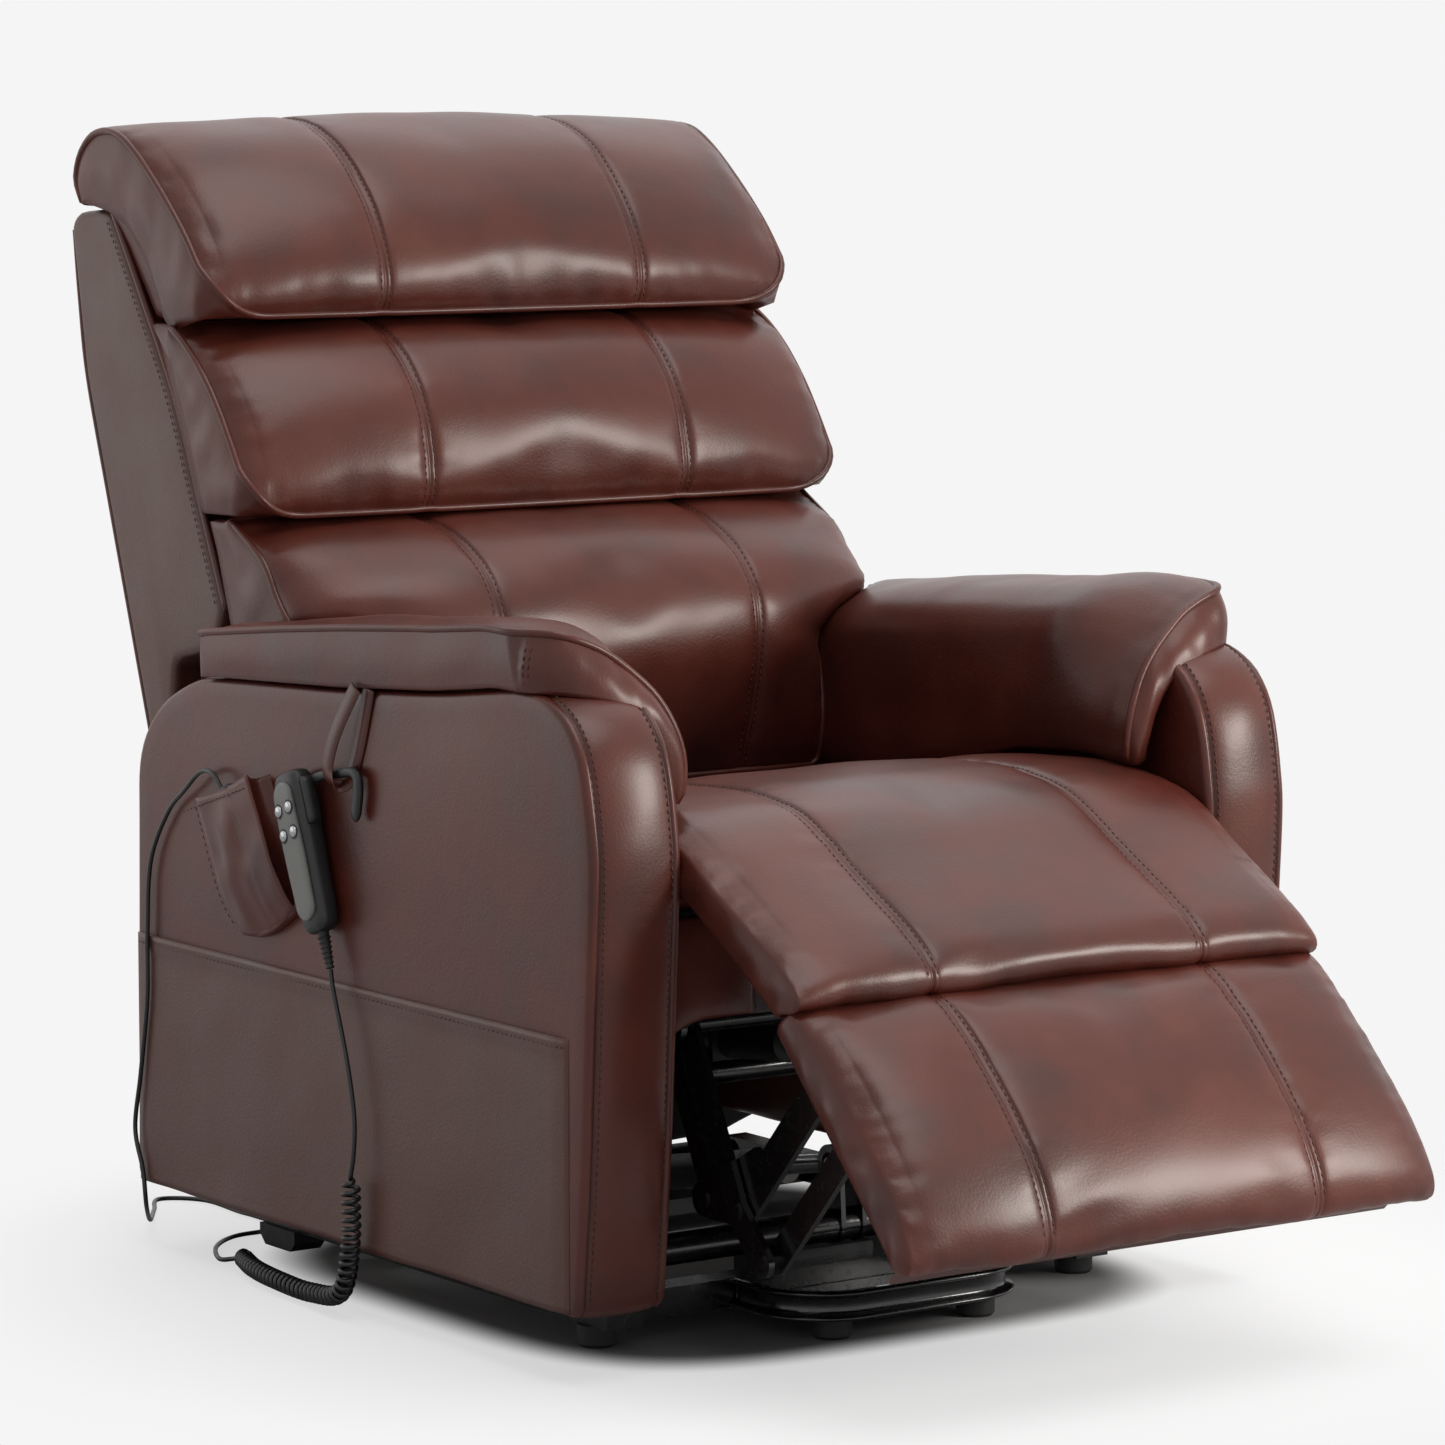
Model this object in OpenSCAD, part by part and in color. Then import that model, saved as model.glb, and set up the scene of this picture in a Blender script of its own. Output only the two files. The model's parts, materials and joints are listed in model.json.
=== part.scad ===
// Lift recliner chair, in millimetres.
// +X is the sitter's left, -Y the front and +Z up; the origin is on the floor under the middle.
// The footrest stands part way open, the back upright and the lift down.

/* [Upholstery] */
// Half of the width over the two arm boxes
arm_out = 386; // [370:1:420]
// Width of one arm box
arm_w = 94; // [80:1:110]
// Front of the arm boxes along Y
arm_front = -310; // [-330:1:-300]
// Back of the arm boxes along Y
arm_back = 452; // [430:1:480]
// Underside of the arm boxes above the floor
arm_bottom = 61; // [50:1:75]
// Height of the arm boxes at their front
arm_top_front = 596; // [570:1:640]
// Height of the arm boxes at their back
arm_top_back = 552; // [540:1:600]
// Height of the hem across the outer side panels
hem_z = 305; // [200:1:400]
// Half of the width of the back pillows
pillow_half = 340; // [320:1:350]
// Half of the width of the back shell above the arms
shell_half = 328; // [300:1:335]
// Half of the width of the footrest and knee pads
pad_half = 286; // [250:1:289]
// Distance of the fore-and-aft seams from the middle
seam_x = 148; // [120:1:170]
// Depth of the sewn channels
channel_d = 4; // [2:0.5:8]
// Length of the footrest pad from its crease to its toe
footrest_l = 264; // [230:1:280]

/* [Steelwork] */
// Thickness of the steel links and plates
plate_t = 6; // [4:0.5:7]
// Diameter of the pivot pins
pin_d = 12; // [8:0.5:13]
// Radial running clearance of a pin in its hole
run_gap = 0.05; // [0.02:0.01:0.1]
// Outside half width over the base side rails
rail_out = 284; // [280:1:288]
// Width of a base side rail
rail_w = 26; // [18:1:30]
// Height of a base side rail
rail_h = 26; // [20:1:30]
// Height of the round feet
foot_h = 20; // [14:1:26]
// Diameter of the round feet
foot_d = 36; // [28:1:40]
// Diameter of the torsion tubes
torsion_d = 30; // [24:1:32]
// Diameter of the plain cross tubes
cross_d = 22; // [16:1:26]

/* [Motors] */
// Diameter of the outer tube of each motor
motor_tube_d = 34; // [28:1:38]
// Diameter of the push rods
rod_d = 18; // [12:1:22]
// Diameter of the motor cans
can_d = 40; // [34:1:46]

/* [Hand control] */
// Length of the hand control
hand_l = 150; // [130:1:165]
// Width of the hand control
hand_w = 46; // [38:1:52]
// Thickness of the hand control
hand_t = 28; // [22:1:32]
// Diameter of its four buttons
button_d = 11; // [8:0.5:13]
// Travel of a button
button_travel = 1.5; // [1:0.1:1.8]
// Diameter of the hand control's cord
cord_d = 4.5; // [3.5:0.1:6]
// Diameter over the curls of the curly stretch
curl_d = 19; // [16:0.5:24]
// Number of curls
curls = 28; // [20:1:34]

/* [Hidden] */

$fn = 32;
gap = 0.3;                         // soft pieces stand this far off their neighbours
arm_in = arm_out - arm_w;
plate_gap = 2;                     // washer space between neighbouring links

// Planes of the steelwork: each is the inner face of a plate, from the middle outwards
x_bracket = 206;                   // footrest bracket
x_inner = 214;                     // straight link and guide link
x_mid = 222;                       // dogleg link
x_drive = 230;                     // leg drive link
x_front_lift = 238.5;              // front lift link
x_side = 246.5;                    // side plates under the seat
x_rear_lift = 254.5;               // rear lift link
x_stand = 262.5;                   // pivot stands of the base

// Pivots in the YZ plane
lift_1 = [-172, 78];               // base to front lift link
lift_2 = [85, 105];                // front lift link to side plate
lift_3 = [-117, 111];              // base to rear lift link
lift_4 = [290.6, 181.5];           // rear lift link to side plate
leg_1 = [-256, 300];               // side plate to drive link
leg_2 = [-332, 144];               // drive link to dogleg link
leg_3 = [-467, 294];               // dogleg link to footrest bracket
link_step = [-38, -40];            // from the dogleg link's pivots to the straight link's
guide_step = [60, 0];              // from the drive link's pivots to the guide link's
leg_4 = leg_2 + link_step;
leg_5 = leg_3 + link_step;
guide_1 = leg_1 + guide_step;
guide_2 = leg_2 + guide_step;
back_1 = [332, 300];               // side plate to back bracket
crease = [-490, 357];              // where the knee pad meets the footrest pad

// Motor pivots: fixed end, then the pin on the lever
lift_motor_p = [212, 60];
lift_lever_p = [-168, 135];
leg_motor_p = [-40, 240];
leg_lever_p = [-268, 262];
back_motor_p = [60, 240];
back_lever_p = [377, 235];
lift_motor_x = 0;
leg_motor_x = -75;
back_motor_x = 75;
fork_run = [4.2, 10];                // play of the leg lever's pin in its fork
lug_t = 5;
eye_w = 16;                        // width of a rod eye

// Cross tubes of the mechanism in the YZ plane
front_tube = [-53, 207];
mid_tube = [10, 240];
rear_tube = [262, 195];

// Directions along the footrest and out of its face
toe_dir = [-0.686, -0.728];
face_dir = [-0.728, 0.686];

// Front face of the back shell: height, then Y
shell_line = [[330, 266], [615, 377], [815, 469], [987, 584]];

// ---------- helpers ----------
function unit(v) = v / norm(v);
function lerp(a, b, t) = a + (b - a) * t;
function footrest_at(s, n) = crease + s * toe_dir + n * face_dir;
function arc(c, r, a0, a1, n) = [for (i = [0:n]) let (a = lerp(a0, a1, i / n)) c + r * [cos(a), sin(a)]];

// Catmull-Rom curve through the points, with n steps a span, as an open line
function spline(p, n) = let (m = len(p) - 1) [
  for (i = [0:m - 1], j = [0:n - 1])
    let (t = j / n, a = p[max(i - 1, 0)], b = p[i], c = p[i + 1], d = p[min(i + 2, m)])
      0.5 * (2 * b + (c - a) * t + (2 * a - 5 * b + 4 * c - d) * t * t + (3 * b - a - 3 * c + d) * t * t * t),
  p[m]
];

module mirrored() {
  children();
  mirror([1, 0, 0]) children();
}

// Extrudes a drawing made in the YZ plane along +X, from x over t
module yz(x, t) {
  translate([x, 0, 0]) rotate([90, 0, 90]) linear_extrude(t) children();
}

module disc_at(p, d) {
  translate(p) circle(d = d);
}

// Flat bar with round ends
module bar(p, q, w) {
  disc_at(p, w);
  disc_at(q, w);
  e = w / 2 - 0.03;                // the flat sides cut the round ends clearly
  if (norm(q - p) > 0) translate(p) rotate(atan2(q.y - p.y, q.x - p.x)) translate([0, -e]) square([norm(q - p), 2 * e]);
}

// Rod along +X in the YZ plane's terms
module xrod(p, x, l, d) {
  translate([x, p.x, p.y]) rotate([0, 90, 0]) cylinder(d = d, h = l);
}

module xtube(p, half, d, wall) {
  difference() {
    xrod(p, -half, 2 * half, d);
    xrod(p, -half - 1, 2 * half + 2, d - 2 * wall);
  }
}

// Closed skin over rings of equal length; each ring runs out along one side and back along the other
module skin(rings) {
  n = len(rings[0]);
  m = len(rings);
  sides = [
    for (i = [0:m - 2], j = [0:n - 1])
      let (a = i * n + j, b = i * n + (j + 1) % n, c = a + n, d = b + n) each [[a, d, b], [a, c, d]]
  ];
  function cap(o, flip) = [
    for (j = [0:n / 2 - 2])
      let (a = o + j, b = o + j + 1, c = o + n - 2 - j, d = o + n - 1 - j)
        each (flip ? [if (j < n / 2 - 1) [a, c, b], [a, d, c]] : [if (j < n / 2 - 1) [a, b, c], [a, c, d]])
  ];
  polyhedron([for (r = rings) each r], concat(sides, cap(0, false), cap((m - 1) * n, true)));
}

// Tube of round section swept along points, closed at both ends
function sweep_ring(p, t, up, r, sides) =
  let (u = unit(cross(t, up)), v = cross(u, t)) [for (k = [0:sides - 1]) p + r * (cos(360 * k / sides) * u + sin(360 * k / sides) * v)];
function tangent(p, i) = unit(p[min(i + 1, len(p) - 1)] - p[max(i - 1, 0)]);
function transported(p, i = 0, up = [0, 1, 0.02], acc = []) =
  i == len(p) ? acc
  : let (t = tangent(p, i), u = unit(up - (up * t) * t)) transported(p, i + 1, u, concat(acc, [u]));
module tube_along(p, d, sides) {
  ups = transported(p);
  skin([for (i = [0:len(p) - 1]) sweep_ring(p[i], tangent(p, i), ups[i], d / 2, sides)]);
}

// ---------- base ----------
rail_z = foot_h;
rail_front = -205;
rail_back = 380;
front_bar_y = -170;
rear_bar_y = 258;
bar_w = 30;

module base_frame() color("#1b1c1e") {
  mirrored() difference() {
    union() {
      translate([rail_out - rail_w, rail_front, rail_z]) cube([rail_w, rail_back - rail_front, rail_h]);
      // pivot stand for the two lift links
      yz(x_stand, plate_t) {
        polygon([[-205, rail_z], [-60, rail_z], [-96, 118], [-138, 128], [-190, 96], [-205, 70]]);
        disc_at(lift_1, 34);
        disc_at(lift_3, 34);
      }
      // shoe that ties the stand to the front bar
      translate([x_stand - 16, -205, rail_z]) cube([16, 4, 40]);
    }
    xrod(lift_1, x_stand - 1, plate_t + 2, pin_d + 2 * run_gap);
    xrod(lift_3, x_stand - 1, plate_t + 2, pin_d + 2 * run_gap);
    for (y = [-90, 60, 220]) translate([rail_out - rail_w / 2, y, rail_z - 1]) cylinder(d = 8, h = rail_h + 2);
  }
  rail_in = rail_out - rail_w;
  translate([-rail_in, front_bar_y - bar_w / 2, rail_z]) cube([2 * rail_in, bar_w, rail_h]);
  translate([-rail_in, rear_bar_y - bar_w / 2, rail_z]) cube([2 * rail_in, bar_w, rail_h]);
  // lugs for the lift motor
  for (s = [-1, 1]) difference() {
    yz(lift_motor_x + s * 26 - lug_t / 2, lug_t) {
      bar([rear_bar_y - 8, rail_z + rail_h / 2], lift_motor_p, 24);
    }
    xrod(lift_motor_p, lift_motor_x + s * 26 - lug_t, 2 * lug_t, pin_d + 2 * run_gap);
  }
}

module base_pins() color("#8e9196") mirrored() {
  pin(lift_1, x_front_lift, x_stand + plate_t - x_front_lift);
  pin(lift_3, x_rear_lift, x_stand + plate_t - x_rear_lift);
}

loop_x = 136;
loop_front = -292;
loop_r = 52;
loop_z = foot_h;

// Outline of the U-shaped front loop, inset by i
module loop_outline(i) {
  difference() {
    union() {
      translate([-loop_x + i, front_bar_y - bar_w / 2 - 100 + i]) square([2 * (loop_x - i), 100 - i]);
      for (s = [-1, 1]) translate([s * (loop_x - loop_r), loop_front + loop_r]) circle(r = loop_r - i);
      translate([-loop_x + loop_r, loop_front + i]) square([2 * (loop_x - loop_r), loop_r]);
    }
    if (i > 0) translate([-loop_x, front_bar_y - bar_w / 2 - i]) square([2 * loop_x, 50]);
  }
}

module front_loop() color("#141416") difference() {
  union() {
    translate([0, 0, loop_z]) linear_extrude(4) loop_outline(0);
    translate([0, 0, loop_z + 4]) linear_extrude(18) loop_outline(7);
    translate([0, 0, loop_z + 22]) linear_extrude(4) loop_outline(0);
  }
  translate([0, 0, loop_z + 7]) linear_extrude(40) loop_outline(16);
}

module round_foot(x, y, h) {
  translate([x, y, 0]) cylinder(d1 = foot_d - 4, d2 = foot_d, h = 3);
  translate([x, y, 3]) cylinder(d = foot_d, h = h - 3);
}

module front_feet() color("#0d0d0e") {
  for (s = [-1, 1]) {
    round_foot(s * 271, front_bar_y, foot_h);
    round_foot(s * 81, loop_front + 28, foot_h);
  }
}

module rear_glides() color("#0d0d0e") mirrored()
  translate([rail_out - rail_w / 2 - 17, 0, 0]) rotate([90, 0, 90]) linear_extrude(34)
    polygon([[330, 0], [376, 0], [386, 10], [386, rail_z], [322, rail_z], [322, 8]]);

module power_box() color("#1a1a1c") {
  translate([-66, -154.7, rail_z]) cube([112, 62, 34]);
  translate([-70, -151, rail_z]) cube([120, 54, 30]);
  translate([-30, -100, rail_z + 6]) cube([20, 16, 14]);
}

// ---------- lift ----------
module link_holes(points, x) {
  for (p = points) xrod(p, x - 1, plate_t + 2, pin_d + 2 * run_gap);
}

lever_x = eye_w / 2 + 1.5;         // inner face of a lever plate beside the rod eye

// Two lever plates; the wide hole at the tip takes up the play of the opened linkage
module lever_pair(x, root, tip, w, hole) {
  for (s = [0, 1]) yz(x + (s == 0 ? lever_x : -lever_x - lug_t), lug_t) difference() {
    bar(root, tip, w);
    disc_at(tip, hole);
  }
}

module lift_links() color("#1d1e20") {
  mirrored() difference() {
    yz(x_front_lift, plate_t) bar(lift_1, lift_2, 34);
    link_holes([lift_1, lift_2], x_front_lift);
  }
  difference() {
    union() {
      xrod(lift_1, -x_front_lift, 2 * x_front_lift, torsion_d);
      lever_pair(lift_motor_x, lift_1, lift_lever_p, 34, pin_d + 8);
    }
    xrod(lift_1, -x_front_lift - 1, 2 * x_front_lift + 2, torsion_d - 6);
  }
}

module rear_lift_links() color("#1d1e20") mirrored() difference() {
  yz(x_rear_lift, plate_t) bar(lift_3, lift_4, 28);
  xrod(lift_3, x_rear_lift - 1, plate_t + 2, pin_d + 2 * run_gap);
  xrod(lift_4, x_rear_lift - 1, plate_t + 2, pin_d + 1);
}

// One motor: gear housing with a rear eye, motor can to the side s, and an outer tube along +X
module motor(tube_l, s) {
  difference() {
    union() {
      translate([-16, -23, -22]) cube([78, 46, 40]);
      translate([44, 0, 0]) rotate([0, 90, 0]) cylinder(d = motor_tube_d, h = tube_l - 44);
      translate([39, 0, -4]) rotate([s * 90, 0, 0]) cylinder(d = can_d, h = 118);
    }
    translate([0, 30, 0]) rotate([90, 0, 0]) cylinder(d = pin_d + 2 * run_gap, h = 60);
    translate([36, 0, 0]) rotate([0, 90, 0]) cylinder(d = rod_d + 2 * run_gap, h = tube_l);
  }
}

// Places children, drawn along +X, on the line from p to q in the plane x
module along(p, q, x) {
  translate([x, p.x, p.y]) rotate([0, 0, 90]) rotate([0, -atan2(q.y - p.y, q.x - p.x), 0]) children();
}

module push_rod(l, l_in) {
  translate([l_in, 0, 0]) rotate([0, 90, 0]) cylinder(d = rod_d, h = l - l_in - 8);
  translate([l, eye_w / 2, 0]) rotate([90, 0, 0]) cylinder(d = pin_d + 12, h = eye_w);
  // pin pressed through the eye
  translate([l, eye_w / 2 + 8, 0]) rotate([90, 0, 0]) cylinder(d = pin_d - 2, h = eye_w + 16);
}

module lift_motor() color("#222326") along(lift_motor_p, lift_lever_p, lift_motor_x) motor(300, 1);
module lift_rod() color("#a8abb0") along(lift_motor_p, lift_lever_p, lift_motor_x)
  push_rod(norm(lift_lever_p - lift_motor_p), 120);

// ---------- chair frame ----------
module mechanism_plates() color("#202124") mirrored() difference() {
  yz(x_side, plate_t) {
    bar(leg_1, back_1, 40);
    bar(guide_1, guide_1, 30);
    bar(front_tube, [-40, 300], 34);
    bar(mid_tube, [10, 296], 36);
    bar(lift_2, [75, 296], 38);
    bar(lift_4, [296, 292], 38);
    bar(rear_tube, lift_4, 30);
    polygon([[62, 280], [95, 280], [300, 280], [290, 195], [262, 195], [100, 120]]);
  }
  for (p = [leg_1, guide_1, lift_2, lift_4, back_1])
    xrod(p, x_side - 1, plate_t + 2, pin_d + 2 * run_gap);
  yz(x_side - 1, plate_t + 2) {
    bar([120, 180], [160, 225], 34);
    bar([215, 235], [240, 240], 34);
    for (y = [-150, 190]) disc_at([y, 304], 8);
  }
}

module clevis(root, p, x, half) {
  for (s = [-1, 1]) difference() {
    yz(x + s * half - lug_t / 2, lug_t) bar(root, p, 28);
    xrod(p, x + s * half - lug_t, 2 * lug_t, pin_d + 2 * run_gap);
  }
}

module cross_tubes() color("#26272a") {
  xtube(front_tube, x_side, cross_d, 2.5);
  difference() {
    union() {
      xtube(mid_tube, x_side, torsion_d, 3);
      clevis(mid_tube, leg_motor_p, leg_motor_x, 26);
      clevis(mid_tube, back_motor_p, back_motor_x, 26);
    }
    xrod(mid_tube, -x_side - 1, 2 * x_side + 2, torsion_d - 6);
  }
  xtube(rear_tube, x_side, cross_d, 2.5);
}

// A headed pin from x over l
module pin(p, x, l) {
  xrod(p, x, l, pin_d);
  xrod(p, x + l, 2, pin_d + 6);
}

module pivot_pins() color("#8e9196") {
  mirrored() {
    pin(lift_2, x_front_lift, x_side + plate_t - x_front_lift);
    pin(lift_4, x_side, x_rear_lift + plate_t - x_side);
    pin(leg_1, x_drive, x_side + plate_t - x_drive);
    pin(guide_1, x_inner, x_side + plate_t - x_inner);
    pin(back_1, x_side - plate_t - plate_gap, 2 * plate_t + plate_gap);
  }
}

box_back = 252;
box_z0 = 308;
box_z1 = 400;
rail_board = 22;

module seat_box() color("#b98f5f") {
  mirrored() difference() {
    translate([x_side + plate_t, arm_front + 20, box_z0])
      cube([arm_in - x_side - plate_t, box_back - arm_front - 20, box_z1 - box_z0]);
    for (p = [lift_4, leg_1, guide_1, back_1]) xrod(p, x_side + plate_t - 1, 12, 40);
    for (y = [-150, 190]) xrod([y, 304], x_side + plate_t - 1, 60, 8);
  }
  half = x_side + plate_t;
  difference() {
    translate([-half, arm_front + 20, box_z0]) cube([2 * half, 18, box_z1 - box_z0]);
    // notches for the front ends of the side plates
    mirrored() translate([x_side - 0.3, arm_front + 19, box_z0 - 1]) cube([plate_t + 0.3, 20, 16]);
  }
  translate([-half, box_back - rail_board, 345]) cube([2 * half, rail_board, box_z1 - 345]);
  // deck that carries the seat cushion
  translate([-half, arm_front + 38, box_z1 - 9]) cube([2 * half, box_back - rail_board - arm_front - 38, 9]);
}

module seat_front() color("#4c2420") difference() {
  translate([-arm_in + gap, arm_front + 12, box_z0]) cube([2 * (arm_in - gap), 8, 92]);
  translate([-190, arm_front + 11, box_z0 - 1]) cube([380, 5, 78]);
}

felt_w = 380 - 2 * gap;
module felt_strip() color("#4a4548")
  translate([-felt_w / 2, arm_front + 12.5, box_z0]) cube([felt_w, 3.2, 76]);

// ---------- cushions ----------
// Stations across X: r is the length of a rounded end
ends = [1, 0.85, 0.35];
function stations(half, r) = concat(
  [for (e = ends) r * (1 - e) - half],
  [-seam_x - 13, -seam_x, -seam_x + 13, 0, seam_x - 13, seam_x, seam_x + 13],
  [for (i = [2:-1:0]) half - r * (1 - ends[i])]
);
function fullness(x, half, r) =
  let (e = max(0, (abs(x) - half + r) / r)) 0.14 + 0.86 * sqrt(max(0, 1 - e * e));

// Cushion swept across X between open lines with as many points each: its outline at the sides,
// its outline in the middle, and the back that it rests with
module cushion(side, middle, back, half, r) {
  skin([
    for (x = stations(half, r))
      let (
        f = fullness(x, half, r),
        g = 1 - pow(abs(x) / half, 2.4),
        sunk = abs(abs(x) - seam_x) < 1 ? channel_d : 0,
        face = [for (i = [0:len(side) - 1]) let (p = lerp(side[i], middle[i], g), d = unit(back[i] - p)) p + d * sunk]
      )
      concat(
        [for (i = [0:len(side) - 1]) let (p = lerp(lerp(face[i], back[i], 0.5), face[i], f)) [x, p.x, p.y]],
        [for (i = [len(side) - 1:-1:0]) let (p = lerp(lerp(face[i], back[i], 0.5), back[i], f)) [x, p.x, p.y]]
      )
  ]);
}

function on_shell(z, off) = [lookup(z, shell_line) - off, z];
function up_shell(z0, z1, n, off) = [for (i = [0:n - 1]) on_shell(lerp(z0, z1, i / (n - 1)), off)];

head_side = [[388, 894], [403, 934], [465, 1009], [540, 1062], [648, 1040]];
head_middle = [[374, 894], [372, 940], [405, 1006], [510, 1076], [650, 1046]];
mid_side = [[314, 710], [314, 736], [340, 782], [388, 839], [450, 884]];
mid_middle = [[298, 710], [293, 752], [302, 806], [352, 862], [446, 886]];
lumbar_side = [[268, 604], [264, 622], [281, 650], [300, 676], [350, 700]];
lumbar_middle = [[198, 604], [204, 626], [226, 658], [262, 690], [345, 702]];
low_side = [[192, 446], [184, 466], [190, 510], [206, 560], [236, 602]];
low_middle = [[160, 446], [152, 466], [162, 510], [178, 560], [206, 602]];

module head_pillow() color("#5a2a22") {
  a = spline(head_side, 2);
  back = concat(up_shell(896, 987, 7, 1), [[600, 992], [650, 988.6]]);
  cushion(a, spline(head_middle, 2), back, pillow_half, 34);
}

module mid_pillow() color("#5a2a22")
  cushion(spline(mid_side, 2), spline(mid_middle, 2), up_shell(712, 884, 9, 1), pillow_half + 4, 34);

module lumbar_pillow() color("#5a2a22")
  cushion(spline(lumbar_side, 2), spline(lumbar_middle, 2), up_shell(617, 700, 9, 1), pillow_half - 4, 34);

module lumbar_base() color("#5a2a22")
  cushion(spline(low_side, 2), spline(low_middle, 2), up_shell(446, 602, 9, 1), 240, 24);

module seat_cushion() color("#5a2a22") {
  side = spline([[-286, 404], [-290, 444], [-262, 480], [-100, 476], [124, 416]], 2);
  middle = spline([[-286, 404], [-293, 444], [-262, 500], [-100, 494], [138, 420]], 2);
  n = len(side);
  cushion(side, middle, [for (i = [0:n - 1]) [lerp(-282, 120, i / (n - 1)), box_z1 + 0.6]], arm_in - 2, 24);
}

module knee_pad() color("#5a2a22") {
  side = spline([[-470, 344], [-490, 357], [-462, 383], [-384, 430], [-306, 470]], 2);
  middle = spline([[-470, 342], [-492, 358], [-458, 392], [-380, 432], [-300, 484]], 2);
  under = spline([[-458, 336], [-448, 340], [-420, 350], [-372, 374], [-304, 432]], 2);
  cushion(side, middle, under, pad_half, 28);
}

module footrest_pad() color("#5a2a22") {
  side = spline([for (q = [[258, -26], [264, -6], [190, 2], [60, 2], [4, -12]]) footrest_at(q.x, q.y)], 2);
  middle = spline([for (q = [[258, -26], [268, -4], [190, 18], [60, 16], [4, -12]]) footrest_at(q.x, q.y)], 2);
  n = len(side);
  cushion(side, middle, [for (i = [0:n - 1]) footrest_at(lerp(240, 8, i / (n - 1)), gap - 40)], pad_half, 26);
}

// ---------- arms ----------
module arm_outline() {
  front_r = 105;
  back_r = 88;
  slope = (arm_top_front - arm_top_back) / (320 - arm_front);
  polygon(concat(
    [[arm_front + 8, arm_bottom], [arm_front, arm_bottom + 8]],
    arc([arm_front + front_r, arm_top_front - front_r], front_r, 180, 92, 9),
    arc([arm_back - back_r, arm_top_back - 12 - back_r], back_r, 84, 0, 8),
    [[arm_back, arm_bottom + 8], [arm_back - 8, arm_bottom]]
  ));
}

module arm() yz(arm_in, arm_w) arm_outline();

module right_arm() color("#54271f") mirror([1, 0, 0]) arm();
module left_arm() color("#54271f") arm();

// Leather panel below the hem, proud of the arm's outer side
module side_skirt() yz(arm_out, 3) polygon([
  [arm_front + 22, arm_bottom + 6], [arm_front + 14, hem_z], [arm_back - 12, hem_z], [arm_back - 12, arm_bottom + 6]
]);

module right_side_skirt() color("#4c231c") mirror([1, 0, 0]) side_skirt();
module left_side_skirt() color("#4c231c") side_skirt();

// Height of the arm box under the pad
function arm_z(y) =
  let (front_r = 105, back_r = 88, yf = arm_front + front_r,
    c = arm_back - back_r, zb = arm_top_back - 12 - back_r)
    y < yf ? arm_top_front - front_r + sqrt(max(0, front_r * front_r - pow(y - yf, 2)))
    : y > c ? zb + sqrt(max(0, back_r * back_r - pow(y - c, 2)))
    : lerp(arm_top_front, arm_top_back - 12, (y - yf) / (c - yf));

pad_in = 250;
pad_h = 52;                        // height of the pad's outer band

// The pad's rear end runs forward towards the inside, clear of the back pillows
function pad_end(x) = lookup(x, [[292, 200], [345, 244], [388, 312]]);
function pad_y(y, x) = y < 60 ? y : lerp(60, pad_end(x), (y - 60) / 252);

// Section of the pad at y; h is 1 where it is full
function pad_section(y, h) =
  let (
    outer = [[arm_out + 3, 3], [arm_out + 9, 26], [arm_out + 5, pad_h], [arm_out - 24, pad_h + 9],
      [arm_out - 70, pad_h + 9], [pad_in + 16, pad_h - 2], [pad_in, pad_h - 26]],
    inner = [[arm_out - 14, 0], [arm_out - 30, 0], [arm_out - 46, 0], [arm_out - 62, 0],
      [arm_out - 78, 0], [arm_in - 0.5, 0], [arm_in - 0.5, -30]],
    seat = [[pad_in, 530], [pad_in + 3, 494], [arm_in - 10, 494], [arm_in - 0.5, 516]],
    at = function(p) let (yy = pad_y(y, p.x)) [p.x, yy, arm_z(yy) + 0.8 + p.y * (p.y > 3 ? h : 1)],
    low = function(p) [p.x, pad_y(y, p.x), p.y]
  )
  [for (p = outer) at(p), low(seat[0]), low(seat[1]), low(seat[2]), low(seat[3]), for (i = [6:-1:0]) at(inner[i])];

// Outline of the nose, from the outer band round to the seat side and back
nose = [[389, 604], [393, 622], [389, 640], [368, 628], [342, 604], [320, 580], [305, 556], [302, 540], [301, 524],
  [305, 523], [307, 536], [311, 550], [317, 560], [327, 573], [338, 586], [352, 598], [366, 606], [380, 604]];

module arm_pad() {
  rear = [for (q = [[312, 0.6], [309, 0.86], [298, 1], [200, 1], [100, 1], [0, 1], [-120, 1], [-205, 1], [-224, 1],
    [-243, 1], [-262, 1]])
    pad_section(q.x, q.y)];
  last = rear[len(rear) - 1];
  front = [for (q = [[-306, 0], [-314, 0.34], [-332, 0.66], [-345, 0.9], [-350, 1]])
    [for (i = [0:len(last) - 1]) let (n = nose[i]) lerp([last[i].x, q.x, last[i].z], [n.x, q.x, n.y], q.y)]];
  skin([for (r = concat(rear, front)) [for (i = [len(r) - 1:-1:0]) r[i]]]);
}

module right_arm_pad() color("#5a2a22") mirror([1, 0, 0]) arm_pad();
module left_arm_pad() color("#5a2a22") arm_pad();

module rear_panel() color("#2b2220") difference() {
  translate([-arm_in, arm_back - 16, 70]) cube([2 * arm_in, 8, 160]);
  translate([-60, arm_back - 17, 66]) cube([120, 10, 26]);
}

// ---------- back ----------
module shell_profile() polygon([
  [377, 615], [469, 815], [584, 987], [600, 990], [652, 986], [665, 973], [638, 826], [558, 594], [519, 480],
  [478, 480], [462, 600], [400, 606]
]);

module back_shell() color("#4c231c") {
  yz(-shell_half, 2 * shell_half) shell_profile();
  yz(-arm_in + 6, 2 * (arm_in - 6)) polygon([
    [266, 330], [377, 615], [440, 615], [476, 470], [440, 335], [425, 330]
  ]);
}

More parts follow.
